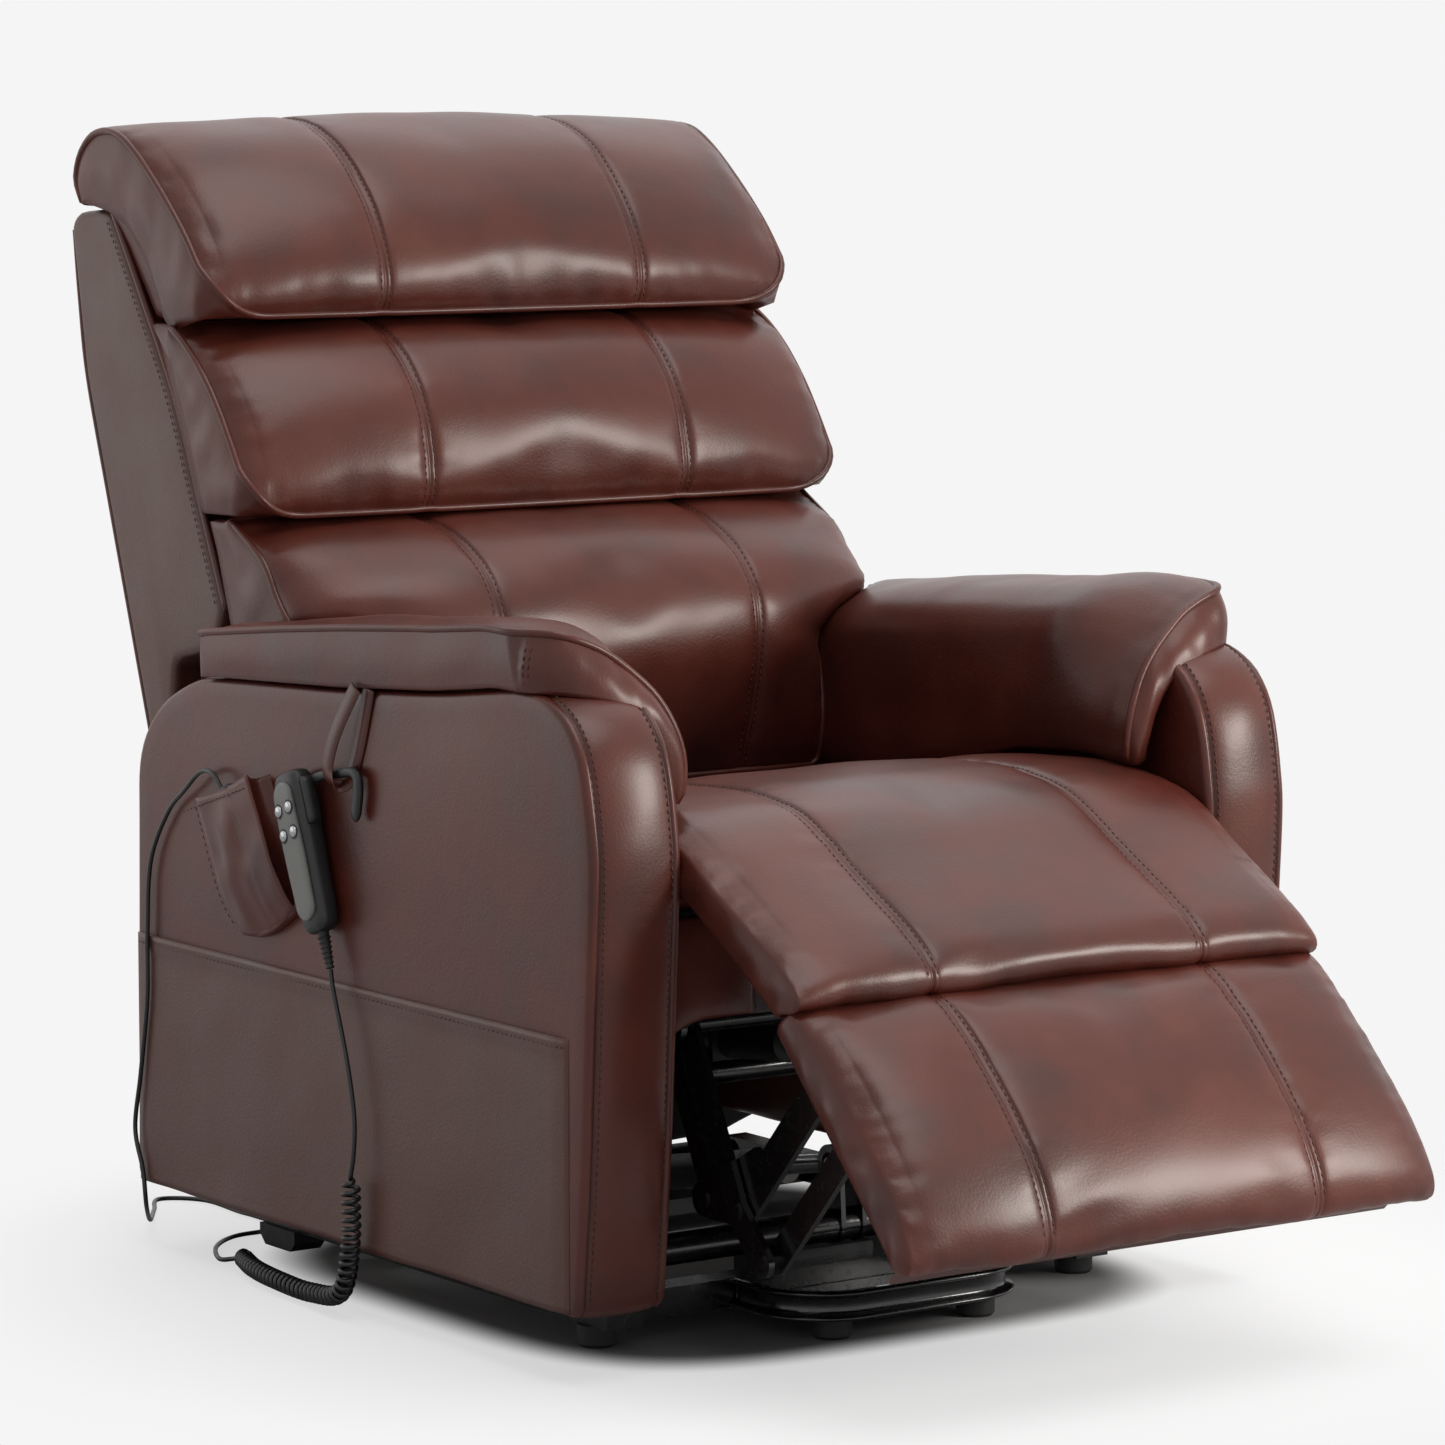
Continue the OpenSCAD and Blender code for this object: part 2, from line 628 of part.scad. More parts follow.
module back_bracket() color("#202124") {
  mirrored() {
    difference() {
      yz(x_front_lift, plate_t) {
        bar(back_1, back_1, 36);
        polygon([[290, 329], [390, 329], [350, 292], [316, 292]]);
      }
      xrod(back_1, x_front_lift - 2, plate_t + 4, pin_d + 2 * run_gap);
    }
    translate([x_front_lift - 22, 288, 324]) cube([22 + plate_t, 108, 6]);
  }
  difference() {
    union() {
      xrod(back_1, -x_front_lift, 2 * x_front_lift, 26);
      lever_pair(back_motor_x, back_1, back_lever_p, 30, pin_d + 4);
    }
    xrod(back_1, -x_front_lift - 1, 2 * x_front_lift + 2, 18);
  }
}

module back_motor() color("#222326") along(back_motor_p, back_lever_p, back_motor_x) motor(190, 1);
module back_rod() color("#a8abb0") along(back_motor_p, back_lever_p, back_motor_x)
  push_rod(norm(back_lever_p - back_motor_p), 110);
module leg_motor() color("#222326") along(leg_motor_p, leg_lever_p, leg_motor_x) motor(150, -1);

// The leg motor's rod ends in a fork plate with an oblong hole for the pin of the lever
module leg_rod() color("#a8abb0") {
  l = norm(leg_lever_p - leg_motor_p);
  along(leg_motor_p, leg_lever_p, leg_motor_x)
    translate([75, 0, 0]) rotate([0, 90, 0]) cylinder(d = rod_d, h = l - 75 - 14);
  difference() {
    yz(leg_motor_x - eye_w / 2, eye_w) bar(leg_lever_p, leg_lever_p + fork_run, pin_d + 18);
    yz(leg_motor_x - eye_w, 2 * eye_w) bar(leg_lever_p, leg_lever_p + fork_run, pin_d + 4);
  }
}

// ---------- footrest linkage ----------
link_w = 26;
wide_w = 32;                       // width of the dogleg links

module link_plate(x, points, w) difference() {
  yz(x, plate_t) for (i = [0:len(points) - 2]) bar(points[i], points[i + 1], w);
  link_holes(points, x);
}

module leg_drive_link() color("#1d1e20") {
  mirrored() {
    link_plate(x_drive, [leg_1, leg_2, leg_4], link_w);
    pin(leg_2, x_mid, x_drive + plate_t - x_mid);
    pin(leg_4, x_inner, x_drive + plate_t - x_inner);
  }
  difference() {
    union() {
      xrod(leg_1, -x_drive, 2 * x_drive, 22);
      lever_pair(leg_motor_x, leg_1, leg_lever_p, 24, 4);
    }
    xrod(leg_1, -x_drive - 1, 2 * x_drive + 2, 15);
  }
  xrod(leg_lever_p, leg_motor_x - lever_x - lug_t, 2 * (lever_x + lug_t), pin_d);
}

module dogleg_link() color("#1d1e20") mirrored() {
  difference() {
    yz(x_mid, plate_t) {
      bar(guide_2, leg_2, wide_w);
      bar(leg_2, leg_3, wide_w);
      // wide corner plate
      polygon([guide_2 + [0, -15], guide_2 + [0, 15], leg_2 + [-18, 58], leg_2 + [-54, 44], leg_2 + [-10, -14]]);
    }
    link_holes([guide_2, leg_2, leg_3], x_mid);
  }
  pin(guide_2, x_inner, x_mid + plate_t - x_inner);
  pin(leg_3, x_bracket, x_mid + plate_t - x_bracket);
}

module guide_link() color("#1d1e20") mirrored() link_plate(x_inner, [guide_1, guide_2], 24);

module straight_link() color("#1d1e20") mirrored() {
  link_plate(x_inner, [leg_4, leg_5], link_w);
  pin(leg_5, x_bracket, x_inner + plate_t - x_bracket);
}

// ---------- footrest ----------
board_t = 9;

module footrest_box(x0, x1, s0, s1, n0, n1) {
  yz(x0, x1 - x0) polygon([footrest_at(s0, n0), footrest_at(s1, n0), footrest_at(s1, n1), footrest_at(s0, n1)]);
}

module footrest_board() color("#c0925c") difference() {
  footrest_box(-pad_half + 8, pad_half - 8, 10, footrest_l - 26, -40 - board_t, -40);
  mirrored() footrest_box(x_bracket - 2, x_drive + 1, 9, 130, -41 - board_t, -39);
}

module footrest_bracket() color("#202124") mirrored() {
  difference() {
    yz(x_bracket, plate_t) {
      bar(leg_3, leg_5, link_w);
      polygon([footrest_at(20, -49), footrest_at(210, -49), footrest_at(205, -56), footrest_at(85, -70)]);
    }
    link_holes([leg_3, leg_5], x_bracket);
  }
  footrest_box(x_bracket - 18, x_bracket, 20, 215, -54, -49);
}

module footrest_flap() color("#3a1c18")
  footrest_box(-pad_half + 14, pad_half - 14, footrest_l - 25, footrest_l - 22, -72, -40.5);

// ---------- hand control ----------
hand_base = [77, 352];
hand_tilt = -20.8;

// Local frame of the hand control: z up along it, -x away from the arm, -y towards the front
module on_hand() translate([-arm_out - 2, hand_base.x, hand_base.y]) rotate([hand_tilt, 0, 0]) children();

button_rows = [93, 116];
button_cols = [-9, 9];
function button_at(i) = [button_cols[i % 2], button_rows[floor(i / 2)]];
face_t = 2;
bore_depth = 9;

module hand_section(d) {
  r = 9;
  for (x = [-hand_t + r + d, -r - d], y = [-hand_w / 2 + r + d, hand_w / 2 - r - d]) translate([x, y]) circle(r = r);
  translate([-hand_t + d, -hand_w / 2 + r + d]) square([hand_t - 2 * d, hand_w - 2 * (r + d)]);
  translate([-hand_t + r + d, -hand_w / 2 + d]) square([hand_t - 2 * (r + d), hand_w - 2 * d]);
}

module hand_body() color("#1b1c1d") on_hand() difference() {
  union() {
    translate([0, 0, 3]) linear_extrude(hand_l - 6) hand_section(0);
    linear_extrude(hand_l) hand_section(3);
  }
  for (i = [0:3]) let (p = button_at(i)) translate([-hand_t - 1, p.x, p.y]) rotate([0, 90, 0])
    cylinder(d = button_d + 0.3, h = bore_depth + 1);
}

module hand_face() color("#8b8c87") on_hand() difference() {
  translate([-hand_t - face_t, -hand_w / 2 + 9, 12]) cube([face_t, hand_w - 18, hand_l - 22]);
  for (i = [0:3]) let (p = button_at(i)) translate([-hand_t - 5, p.x, p.y]) rotate([0, 90, 0])
    cylinder(d = button_d + 0.3, h = 10);
}

module button(i) color("#c9cbce") on_hand() let (p = button_at(i)) translate([-hand_t - face_t - 2.5, p.x, p.y])
  rotate([0, 90, 0]) {
    cylinder(d1 = button_d - 3, d2 = button_d, h = 1);
    translate([0, 0, 1]) cylinder(d = button_d, h = 8.5);
  }
module button_1() button(0);
module button_2() button(1);
module button_3() button(2);
module button_4() button(3);

module hand_hook() color("#1e1f20") {
  on_hand() translate([-21, -hand_w / 2 - 4, 96]) cube([14, 4, 44]);
  yz(-arm_out - 13.3, 8) {
    bar([99, 489], [28, 500], 9);
    bar([28, 500], [30, 456], 13);
  }
}

module hand_grommet() color("#111112") on_hand() translate([-hand_t / 2, 0, 0]) {
  translate([0, 0, -34]) cylinder(d1 = 7.5, d2 = 11, h = 34);
  for (i = [0:5]) translate([0, 0, -8 - 5 * i]) cylinder(d = 13.5 - 0.8 * i, h = 2.4);
}

module hanger_strap() color("#6a2f26") translate([-arm_out - 9.3, 48, 486.6]) rotate([13, 0, 0])
  translate([0, 7, 0]) rotate([90, 0, 0]) linear_extrude(14) difference() {
    union() {
      translate([0, 9]) circle(r = 9);
      translate([-9, 9]) square([18, 70.5]);
    }
    translate([0, 9]) circle(r = 6);
    translate([-6, 9]) square([12, 66.5]);
  }

pocket_d = 26;                     // depth of the pocket off the arm
module pocket() color("#5d2b23") difference() {
  yz(-arm_out - pocket_d - 0.3, pocket_d)
    polygon([[309, 449], [207, 483], [117, 372], [128, 358], [222, 322], [236, 327]]);
  yz(-arm_out - pocket_d + 2.7, pocket_d - 6)
    polygon([[300, 460], [210, 490], [122, 374], [130, 363], [222, 327], [231, 330]]);
}

module pocket_control() color("#1c1c1e")
  translate([-arm_out - 23, 258, 462]) rotate([-34, 0, 0]) translate([0, -20, -98]) cube([18, 40, 96]);

module control_box() color("#1c1c1e") {
  translate([-200, 238, rear_tube.y + cross_d / 2]) cube([80, 50, 30]);
}

// ---------- cords ----------
curl_r = (curl_d - cord_d) / 2;
curl_axis = spline([[-404, 30, 134], [-404, 30, 76], [-402, 50, 26], [-396, 112, 13], [-393, 176, 12.5],
  [-384, 234, 12.5], [-366, 288, 12.5]], 8);
curl_ups = transported(curl_axis);
curl_n = curls * 8;
function axis_at(u) = let (i = min(floor(u), len(curl_axis) - 2)) lerp(curl_axis[i], curl_axis[i + 1], u - i);
function curl_point(k) =
  let (
    u = k / curl_n * (len(curl_axis) - 1), i = min(floor(u), len(curl_axis) - 2),
    t = tangent(curl_axis, i), a = curl_ups[i], b = cross(t, a),
    r = curl_r * min(1, k / 8, (curl_n - k) / 8), phi = 45 * k
  )
  axis_at(u) + r * (cos(phi) * a + sin(phi) * b);
helix = [for (k = [0:curl_n]) curl_point(k)];
curl_line = concat([helix[0] - cord_d * unit(helix[1] - helix[0])], helix,
  [helix[curl_n] + cord_d * unit(helix[curl_n] - helix[curl_n - 1])]);
curl_start = curl_line[0] - 0.8 * unit(helix[1] - helix[0]);
curl_end = curl_line[len(curl_line) - 1] + 0.8 * unit(helix[curl_n] - helix[curl_n - 1]);
least = min([for (i = [0:curl_n], j = [i + 5:1:min(curl_n, i + 24)]) norm(helix[i] - helix[j])]) - cord_d;
echo(least_gap_between_curls = least);

module curly_cord() color("#161617") tube_along(curl_line, cord_d, 6);

module hand_cord() color("#161617")
  tube_along(spline([[-402, 64.5, 319.5], [-402, 60, 300], [-402, 38, 240], [-402, 26, 190], [-403, 26, 156],
    curl_start], 3), cord_d, 8);

module cord_tail() color("#161617")
  tube_along(spline([curl_end, [-362, 310, 6], [-366, 330, 3], [-340, 380, 3], [-300, 412, 3], [-250, 416, 3],
    [-200, 390, 12], [-168, 330, 60], [-164, 308, 140], [-164, 309, 190], [-164, 302, 219], [-164, 289, 222]], 3), cord_d, 8);

module pocket_cord() color("#161617")
  tube_along(spline([[-400, 257.5, 461.3], [-400, 276, 476], [-398, 302, 474], [-396, 334, 454], [-393, 372, 428], [-392.5, 406, 378],
    [-392.5, 414, 310], [-392.5, 416, 243], [-392.5, 430, 170], [-392.5, 442, 115], [-392.5, 428, 76],
    [-388, 430, 40], [-350, 490, 12], [-300, 570, 3], [-270, 612, 3], [-236, 580, 3], [-236, 500, 3],
    [-228, 420, 7], [-190, 340, 40], [-184, 306, 130], [-184, 309, 190], [-184, 302, 219], [-184, 289, 222]], 3), cord_d, 8);

// ---------- drawing ----------
base_frame();
base_pins();
front_loop();
front_feet();
rear_glides();
power_box();
lift_links();
rear_lift_links();
lift_motor();
lift_rod();
mechanism_plates();
cross_tubes();
pivot_pins();
seat_box();
seat_front();
felt_strip();
seat_cushion();
knee_pad();
right_arm();
left_arm();
right_arm_pad();
left_arm_pad();
right_side_skirt();
left_side_skirt();
rear_panel();
pocket();
hanger_strap();
hand_body();
hand_face();
hand_hook();
hand_grommet();
button_1();
button_2();
button_3();
button_4();
hand_cord();
curly_cord();
cord_tail();
pocket_control();
pocket_cord();
control_box();
back_shell();
head_pillow();
mid_pillow();
lumbar_pillow();
lumbar_base();
back_bracket();
back_motor();
back_rod();
leg_motor();
leg_rod();
leg_drive_link();
dogleg_link();
guide_link();
straight_link();
footrest_bracket();
footrest_board();
footrest_pad();
footrest_flap();
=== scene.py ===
"""Lift recliner chair: leather upholstery, steel lift base and corded hand control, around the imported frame."""

import json
import math

import bmesh
import bpy
import numpy as np
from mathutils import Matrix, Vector, noise

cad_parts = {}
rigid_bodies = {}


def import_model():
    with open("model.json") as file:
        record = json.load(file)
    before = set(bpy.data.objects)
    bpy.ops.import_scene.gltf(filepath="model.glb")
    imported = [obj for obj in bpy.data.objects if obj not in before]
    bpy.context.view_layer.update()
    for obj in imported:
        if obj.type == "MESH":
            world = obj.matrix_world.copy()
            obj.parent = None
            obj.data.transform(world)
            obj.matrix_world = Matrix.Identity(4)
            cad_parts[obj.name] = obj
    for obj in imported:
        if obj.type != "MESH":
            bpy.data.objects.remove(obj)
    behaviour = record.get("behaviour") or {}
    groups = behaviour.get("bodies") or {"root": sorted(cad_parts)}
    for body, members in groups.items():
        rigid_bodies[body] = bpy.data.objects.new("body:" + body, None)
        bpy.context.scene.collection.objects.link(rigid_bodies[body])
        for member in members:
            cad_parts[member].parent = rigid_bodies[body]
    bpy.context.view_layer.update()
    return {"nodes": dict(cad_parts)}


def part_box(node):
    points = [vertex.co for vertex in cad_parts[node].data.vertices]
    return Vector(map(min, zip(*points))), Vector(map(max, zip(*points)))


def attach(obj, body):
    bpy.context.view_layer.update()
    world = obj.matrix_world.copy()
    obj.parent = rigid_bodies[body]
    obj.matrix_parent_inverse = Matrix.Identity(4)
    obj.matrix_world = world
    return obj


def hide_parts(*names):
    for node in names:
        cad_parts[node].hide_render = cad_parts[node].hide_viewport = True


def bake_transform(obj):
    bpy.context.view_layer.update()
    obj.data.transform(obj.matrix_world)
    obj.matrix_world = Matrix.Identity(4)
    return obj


bl_info = {
    "name": "Lift recliner chair",
    "version": (1, 0, 0),
    "blender": (4, 5, 0),
    "location": "3D View > Sidebar > Recliner",
    "description": "Leather, stitching, steel and plastic finishes for a lift recliner chair",
    "category": "Add Mesh",
}

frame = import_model()
NODES = frame["nodes"]
MM = 0.001

# ---------------------------------------------------------------- numbers shared with the frame, in millimetres
ARM_IN, ARM_OUT = 292.0, 386.0
ARM_FRONT, ARM_BACK, ARM_BOTTOM = -310.0, 452.0, 61.0
HEM_Z = 305.0
SEAM_X = 148.0
CREASE = np.array([-490.0, 357.0])
TOE = np.array([-0.686, -0.728])
FACE = np.array([-0.728, 0.686])

# Studio, in metres: lens and sensor in millimetres, camera place and direction, floor, light on backdrop and floor, and
# the patch of painted shade on the floor under the object
LENS, SENSOR = 144.05, 36
CAMERA_AT, CAMERA_AIM = (-3.0943, -4.3507, 1.150), (0.5739, 0.8106, -0.1167)
FLOOR_HALF = 14.0
BACKDROP_SEEN, BACKDROP_LIGHT, FLOOR_GLOW = 0.914, 0.36, 0.6
SHADE_AT_Y, SHADE_HALF_X, SHADE_HALF_Y = 0.11, 0.34, 0.36

# How the simulated moves of a cover are evened out: rounds, and the neighbours' share in each
EVENING_ROUNDS, EVENING = 12, 0.6


# ---------------------------------------------------------------- small helpers
def linear(hex_colour):
    """sRGB hex to linear RGBA."""
    out = []
    for i in (1, 3, 5):
        c = int(hex_colour[i : i + 2], 16) / 255
        out.append(c / 12.92 if c <= 0.04045 else ((c + 0.055) / 1.055) ** 2.4)
    return (*out, 1.0)


def add(tree, kind, links=(), **settings):
    """Adds a node, sets its properties or sockets by name, and links (socket, input) pairs into it."""
    node = tree.nodes.new(kind)
    for key, value in settings.items():
        if hasattr(node, key):
            setattr(node, key, value)
        else:
            node.inputs[key.replace("_", " ")].default_value = value
    for source, target in links:
        tree.links.new(source, node.inputs[target])
    return node


def curve_through(points, n):
    """n points evenly spaced along a Catmull-Rom curve through the given ones."""
    p = np.asarray(points, float)
    if len(p) == 2:
        t = np.linspace(0, 1, n)[:, None]
        return p[0] * (1 - t) + p[1] * t
    q = np.vstack([2 * p[0] - p[1], p, 2 * p[-1] - p[-2]])
    dense = []
    for i in range(len(p) - 1):
        a, b, c, d = q[i : i + 4]
        for t in np.linspace(0, 1, 24, endpoint=False):
            dense.append(
                0.5 * (2 * b + (c - a) * t + (2 * a - 5 * b + 4 * c - d) * t * t + (3 * b - a - 3 * c + d) * t**3)
            )
    dense.append(p[-1])
    return evenly(np.array(dense), n)


def evenly(line, n):
    """The same polyline with n points evenly spaced along it."""
    step = np.r_[0, np.cumsum(np.linalg.norm(np.diff(line, axis=0), axis=1))]
    want = np.linspace(0, step[-1], n)
    return np.stack([np.interp(want, step, line[:, k]) for k in range(line.shape[1])], 1)


def line_length(line):
    """Length of a polyline."""
    return float(np.linalg.norm(np.diff(np.asarray(line), axis=0), axis=1).sum())


def at(line, v):
    """Point on an even polyline at share v of its length."""
    v = np.clip(v, 0, 1) * (len(line) - 1)
    i = np.minimum(v.astype(int) if isinstance(v, np.ndarray) else int(v), len(line) - 2)
    f = v - i
    if isinstance(v, np.ndarray):
        f = f[:, None]
    return line[i] * (1 - f) + line[i + 1] * f


def new_mesh(name, verts, faces, material, body=None, smooth=True):
    """A mesh object from vertices in millimetres, finished with a material and riding on a body."""
    mesh = bpy.data.meshes.new(name)
    mesh.from_pydata([tuple(v) for v in (np.asarray(verts, float) * MM)], [], [tuple(f) for f in faces])
    mesh.validate()
    obj = bpy.data.objects.new(name, mesh)
    bpy.context.scene.collection.objects.link(obj)
    bm = bmesh.new()
    bm.from_mesh(mesh)
    bmesh.ops.remove_doubles(bm, verts=bm.verts, dist=1e-6)
    bmesh.ops.recalc_face_normals(bm, faces=bm.faces)
    bm.to_mesh(mesh)
    bm.free()
    mesh.polygons.foreach_set("use_smooth", [smooth] * len(mesh.polygons))
    if material is not None:
        mesh.materials.append(material)
    if body:
        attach(obj, body)
    return obj


def skin(rings):
    """Vertices and faces over a row of closed rings, with both ends gathered to their middles."""
    m, n = len(rings), len(rings[0])
    verts = np.vstack([*rings, rings[0].mean(0), rings[-1].mean(0)])
    faces = []
    for i in range(m - 1):
        for j in range(n):
            a, b = i * n + j, i * n + (j + 1) % n
            faces.append((a, b, b + n, a + n))
    for j in range(n):
        k = (j + 1) % n
        faces += [(m * n, k, j), (m * n + 1, (m - 1) * n + j, (m - 1) * n + k)]
    return verts, faces


def both_sides(m, n):
    """Faces of two sheets back to back, each m rows of n points."""
    faces, size = [], m * n
    for i in range(m - 1):
        for j in range(n - 1):
            a = i * n + j
            faces.append((a, a + 1, a + n + 1, a + n))
            a += size
            faces.append((a, a + n, a + n + 1, a + 1))
    return faces


def edge_loop(m, n):
    """The points round the edge of m rows of n points, in order."""
    loop = list(range(n)) + [i * n + n - 1 for i in range(1, m)]
    loop += [(m - 1) * n + j for j in range(n - 2, -1, -1)] + [i * n for i in range(m - 2, 0, -1)]
    return np.array(loop)


def thick_sheet(m, n):
    """Faces of a sheet with two sides, joined along its edges."""
    faces, size = both_sides(m, n), m * n
    for i in range(m - 1):
        a, b = i * n, (i + 1) * n
        faces.append((a, b, size + b, size + a))
        a, b = a + n - 1, b + n - 1
        faces.append((a, size + a, size + b, b))
    for j in range(n - 1):
        faces.append((j, size + j, size + j + 1, j + 1))
        a = (m - 1) * n + j
        faces.append((a, a + 1, size + a + 1, size + a))
    return faces


def end_panel(ring, side, rows, crown, wave, ramp, seed):
    """Rings from an outline in to its middle: an end panel, crowned outwards along X."""
    middle = ring.mean(0)
    out = []
    for k in range(1, rows + 1):
        t = k / (rows + 1)
        base = ring * (1 - t) + middle * t
        bumps = np.array([wrinkle(p[1], p[2], *seed) for p in base])
        base[:, 0] += side * (crown * (1 - (1 - t) ** 3) + wave * bumps * min(1, ramp * t))
        out.append(base)
    return out


def loft(name, rings, material, body=None, caps=3, bulge=0.0, axis=None):
    """Closed skin over closed rings; each end is capped by rings that shrink to its middle and bulge out."""
    rings = [np.asarray(r, float) for r in rings]
    head, tail = [], []
    for ring, store, sign in ((rings[0], head, -1), (rings[-1], tail, 1)):
        middle = ring.mean(0)
        out = np.array(axis if axis is not None else [1, 0, 0], float) * sign
        for k in range(1, caps + 1):
            t = k / (caps + 0.4)
            store.append(ring * (1 - t) + middle * t + out * bulge * math.sin(t * math.pi / 2))
    rings = head[::-1] + rings + tail
    return new_mesh(name, *skin(rings), material, body)


def frames_along(path, up=(0.0, 1.0, 0.02)):
    """Tangents and two normals at each point of a path, carried along without twist."""
    p = np.asarray(path, float)
    t = np.gradient(p, axis=0)
    t /= np.linalg.norm(t, axis=1)[:, None] + 1e-12
    u = np.array(up, float)
    us, vs = [], []
    for k in range(len(p)):
        w = u - u.dot(t[k]) * t[k]
        if np.linalg.norm(w) < 1e-4:
            w = np.array([1.0, 0.3, 0.1]) - np.array([1.0, 0.3, 0.1]).dot(t[k]) * t[k]
        u = w / np.linalg.norm(w)
        us.append(u)
        vs.append(np.cross(t[k], u))
    return t, np.array(us), np.array(vs)


def tube_rings(path, radius, sides=10, up=(0.0, 1.0, 0.02)):
    """Rings of a round section along a path."""
    _, u, v = frames_along(path, up)
    a = np.linspace(0, 2 * math.pi, sides, endpoint=False)
    r = np.broadcast_to(np.asarray(radius, float), (len(path),))
    return [path[k] + r[k] * (np.cos(a)[:, None] * u[k] + np.sin(a)[:, None] * v[k]) for k in range(len(path))]


def tube(name, path, radius, material, body, sides=10, up=(0.0, 1.0, 0.02)):
    """A round bar along a path."""
    path = np.asarray(path, float)
    return loft(name, tube_rings(path, radius, sides, up), material, body, caps=1)


def joined(name, parts, material, body=None, smooth=True):
    """One object from several (verts, faces) pairs."""
    verts, faces, start = [], [], 0
    for v, f in parts:
        verts.append(np.asarray(v, float))
        faces += [tuple(i + start for i in face) for face in f]
        start += len(v)
    return new_mesh(name, np.vstack(verts), faces, material, body, smooth)


def stitches(path, normals, length=4.6, gap=2.4, width=1.15, lift=0.35):
    """Thread stitches as small rounded lozenges that dip into the leather at both ends."""
    path, normals = np.asarray(path, float), np.asarray(normals, float)
    total = line_length(path)
    count = max(1, int(total / (length + gap)))
    step = np.r_[0, np.cumsum(np.linalg.norm(np.diff(path, axis=0), axis=1))]
    parts = []
    for k in range(count):
        mid = (k + 0.5) * total / count
        ts = np.clip([mid - length / 2, mid - length / 4, mid, mid + length / 4, mid + length / 2], 0, total)
        pos = np.stack([np.interp(ts, step, path[:, c]) for c in range(3)], 1)
        nor = np.stack([np.interp(ts, step, normals[:, c]) for c in range(3)], 1)
        nor /= np.linalg.norm(nor, axis=1)[:, None] + 1e-9
        along = pos[-1] - pos[0]
        size = np.linalg.norm(along)
        if size < 0.5 * length:
            continue
        along /= size
        verts = []
        for i, (w, h) in enumerate(((0.15, -0.5), (0.85, 0.35), (1.0, 0.6), (0.85, 0.35), (0.15, -0.5))):
            side = np.cross(nor[i], along)
            side /= np.linalg.norm(side) + 1e-9
            c = pos[i] + nor[i] * (lift * h)
            for a in range(4):
                ang = math.pi / 4 + a * math.pi / 2
                verts.append(c + (side * math.cos(ang) + nor[i] * math.sin(ang) * 0.8) * width * 0.5 * w * 1.3)
        faces = []
        for i in range(4):
            for a in range(4):
                b = (a + 1) % 4
                faces.append((i * 4 + a, i * 4 + b, i * 4 + 4 + b, i * 4 + 4 + a))
        faces += [(3, 2, 1, 0), (16, 17, 18, 19)]
        parts.append((verts, faces))
    return parts


# ---------------------------------------------------------------- materials
def principled(name):
    """A material with its node tree and its shader."""
    mat = bpy.data.materials.new(name)
    mat.use_nodes = True
    tree = mat.node_tree
    shader = tree.nodes["Principled BSDF"]
    return mat, tree, shader


def waxed_leather(name, base, deep, warm, rough=(0.38, 0.48), coat=0.42, grain_mm=2.6, fold=0.12, gloss=0.2):
    """Waxed cowhide: pigment rubbed by hand into broad, faint clouds, pebbled grain, soft broad gloss.
    Real grain is under 1 mm wide and wouldn't show, so it is drawn 2 to 3 mm wide."""
    mat, tree, shader = principled(name)
    pos = add(tree, "ShaderNodeTexCoord").outputs["Object"]
    cloud = add(tree, "ShaderNodeTexNoise", [(pos, "Vector")], Scale=5.5, Detail=2.0, Roughness=0.5, Distortion=0.3)
    patch = add(tree, "ShaderNodeTexNoise", [(pos, "Vector")], Scale=15.0, Detail=2.0, Roughness=0.5)
    both = add(tree, "ShaderNodeMath", [(cloud.outputs["Fac"], 0), (patch.outputs["Fac"], 1)], operation="ADD")
    half = add(tree, "ShaderNodeMath", [(both.outputs[0], 0)], operation="MULTIPLY")
    half.inputs[1].default_value = 0.5
    ramp = add(tree, "ShaderNodeValToRGB", [(half.outputs[0], "Fac")])
    e = ramp.color_ramp.elements
    e[0].position, e[0].color = 0.36, linear(deep)
    e[1].position, e[1].color = 0.64, linear(warm)
    e.new(0.5).color = linear(base)
    # painted shade: the leather is darkened towards near black #160705 where the mesh lies hollow, in seams and folds
    painted_hollow_shade = add(tree, "ShaderNodeAttribute", attribute_name="painted_hollow_shade")
    hollow_shade_mix = add(tree, "ShaderNodeMix", [(painted_hollow_shade.outputs["Fac"], 0), (ramp.outputs["Color"], 6)], data_type="RGBA")
    hollow_shade_mix.inputs[7].default_value = linear("#160705")
    tree.links.new(hollow_shade_mix.outputs[2], shader.inputs["Base Color"])
    polish = add(tree, "ShaderNodeMapRange", [(patch.outputs["Fac"], "Value")], From_Min=0.3, From_Max=0.7)
    polish.inputs["To Min"].default_value, polish.inputs["To Max"].default_value = rough
    tree.links.new(polish.outputs["Result"], shader.inputs["Roughness"])
    cells = add(tree, "ShaderNodeTexVoronoi", [(pos, "Vector")], feature="F1", Scale=1000 / grain_mm, Randomness=1.0)
    folds = add(tree, "ShaderNodeTexNoise", [(pos, "Vector")], Scale=42.0, Detail=2.0, Roughness=0.45, Distortion=0.8)
    soft = add(tree, "ShaderNodeBump", [(folds.outputs["Fac"], "Height")], Strength=fold, Distance=0.003)
    fine = add(
        tree, "ShaderNodeBump", [(cells.outputs["Distance"], "Height"), (soft.outputs["Normal"], "Normal")],
        Strength=0.3, Distance=0.0006, invert=True,
    )
    tree.links.new(fine.outputs["Normal"], shader.inputs["Normal"])
    shader.inputs["IOR"].default_value = 1.5
    shader.inputs["Specular IOR Level"].default_value = gloss
    shader.inputs["Specular Tint"].default_value = (1, 0.9, 0.82, 1)
    shader.inputs["Coat Tint"].default_value = (1, 0.97, 0.95, 1)
    shader.inputs["Coat Weight"].default_value = coat
    shader.inputs["Coat Roughness"].default_value = 0.29
    return mat


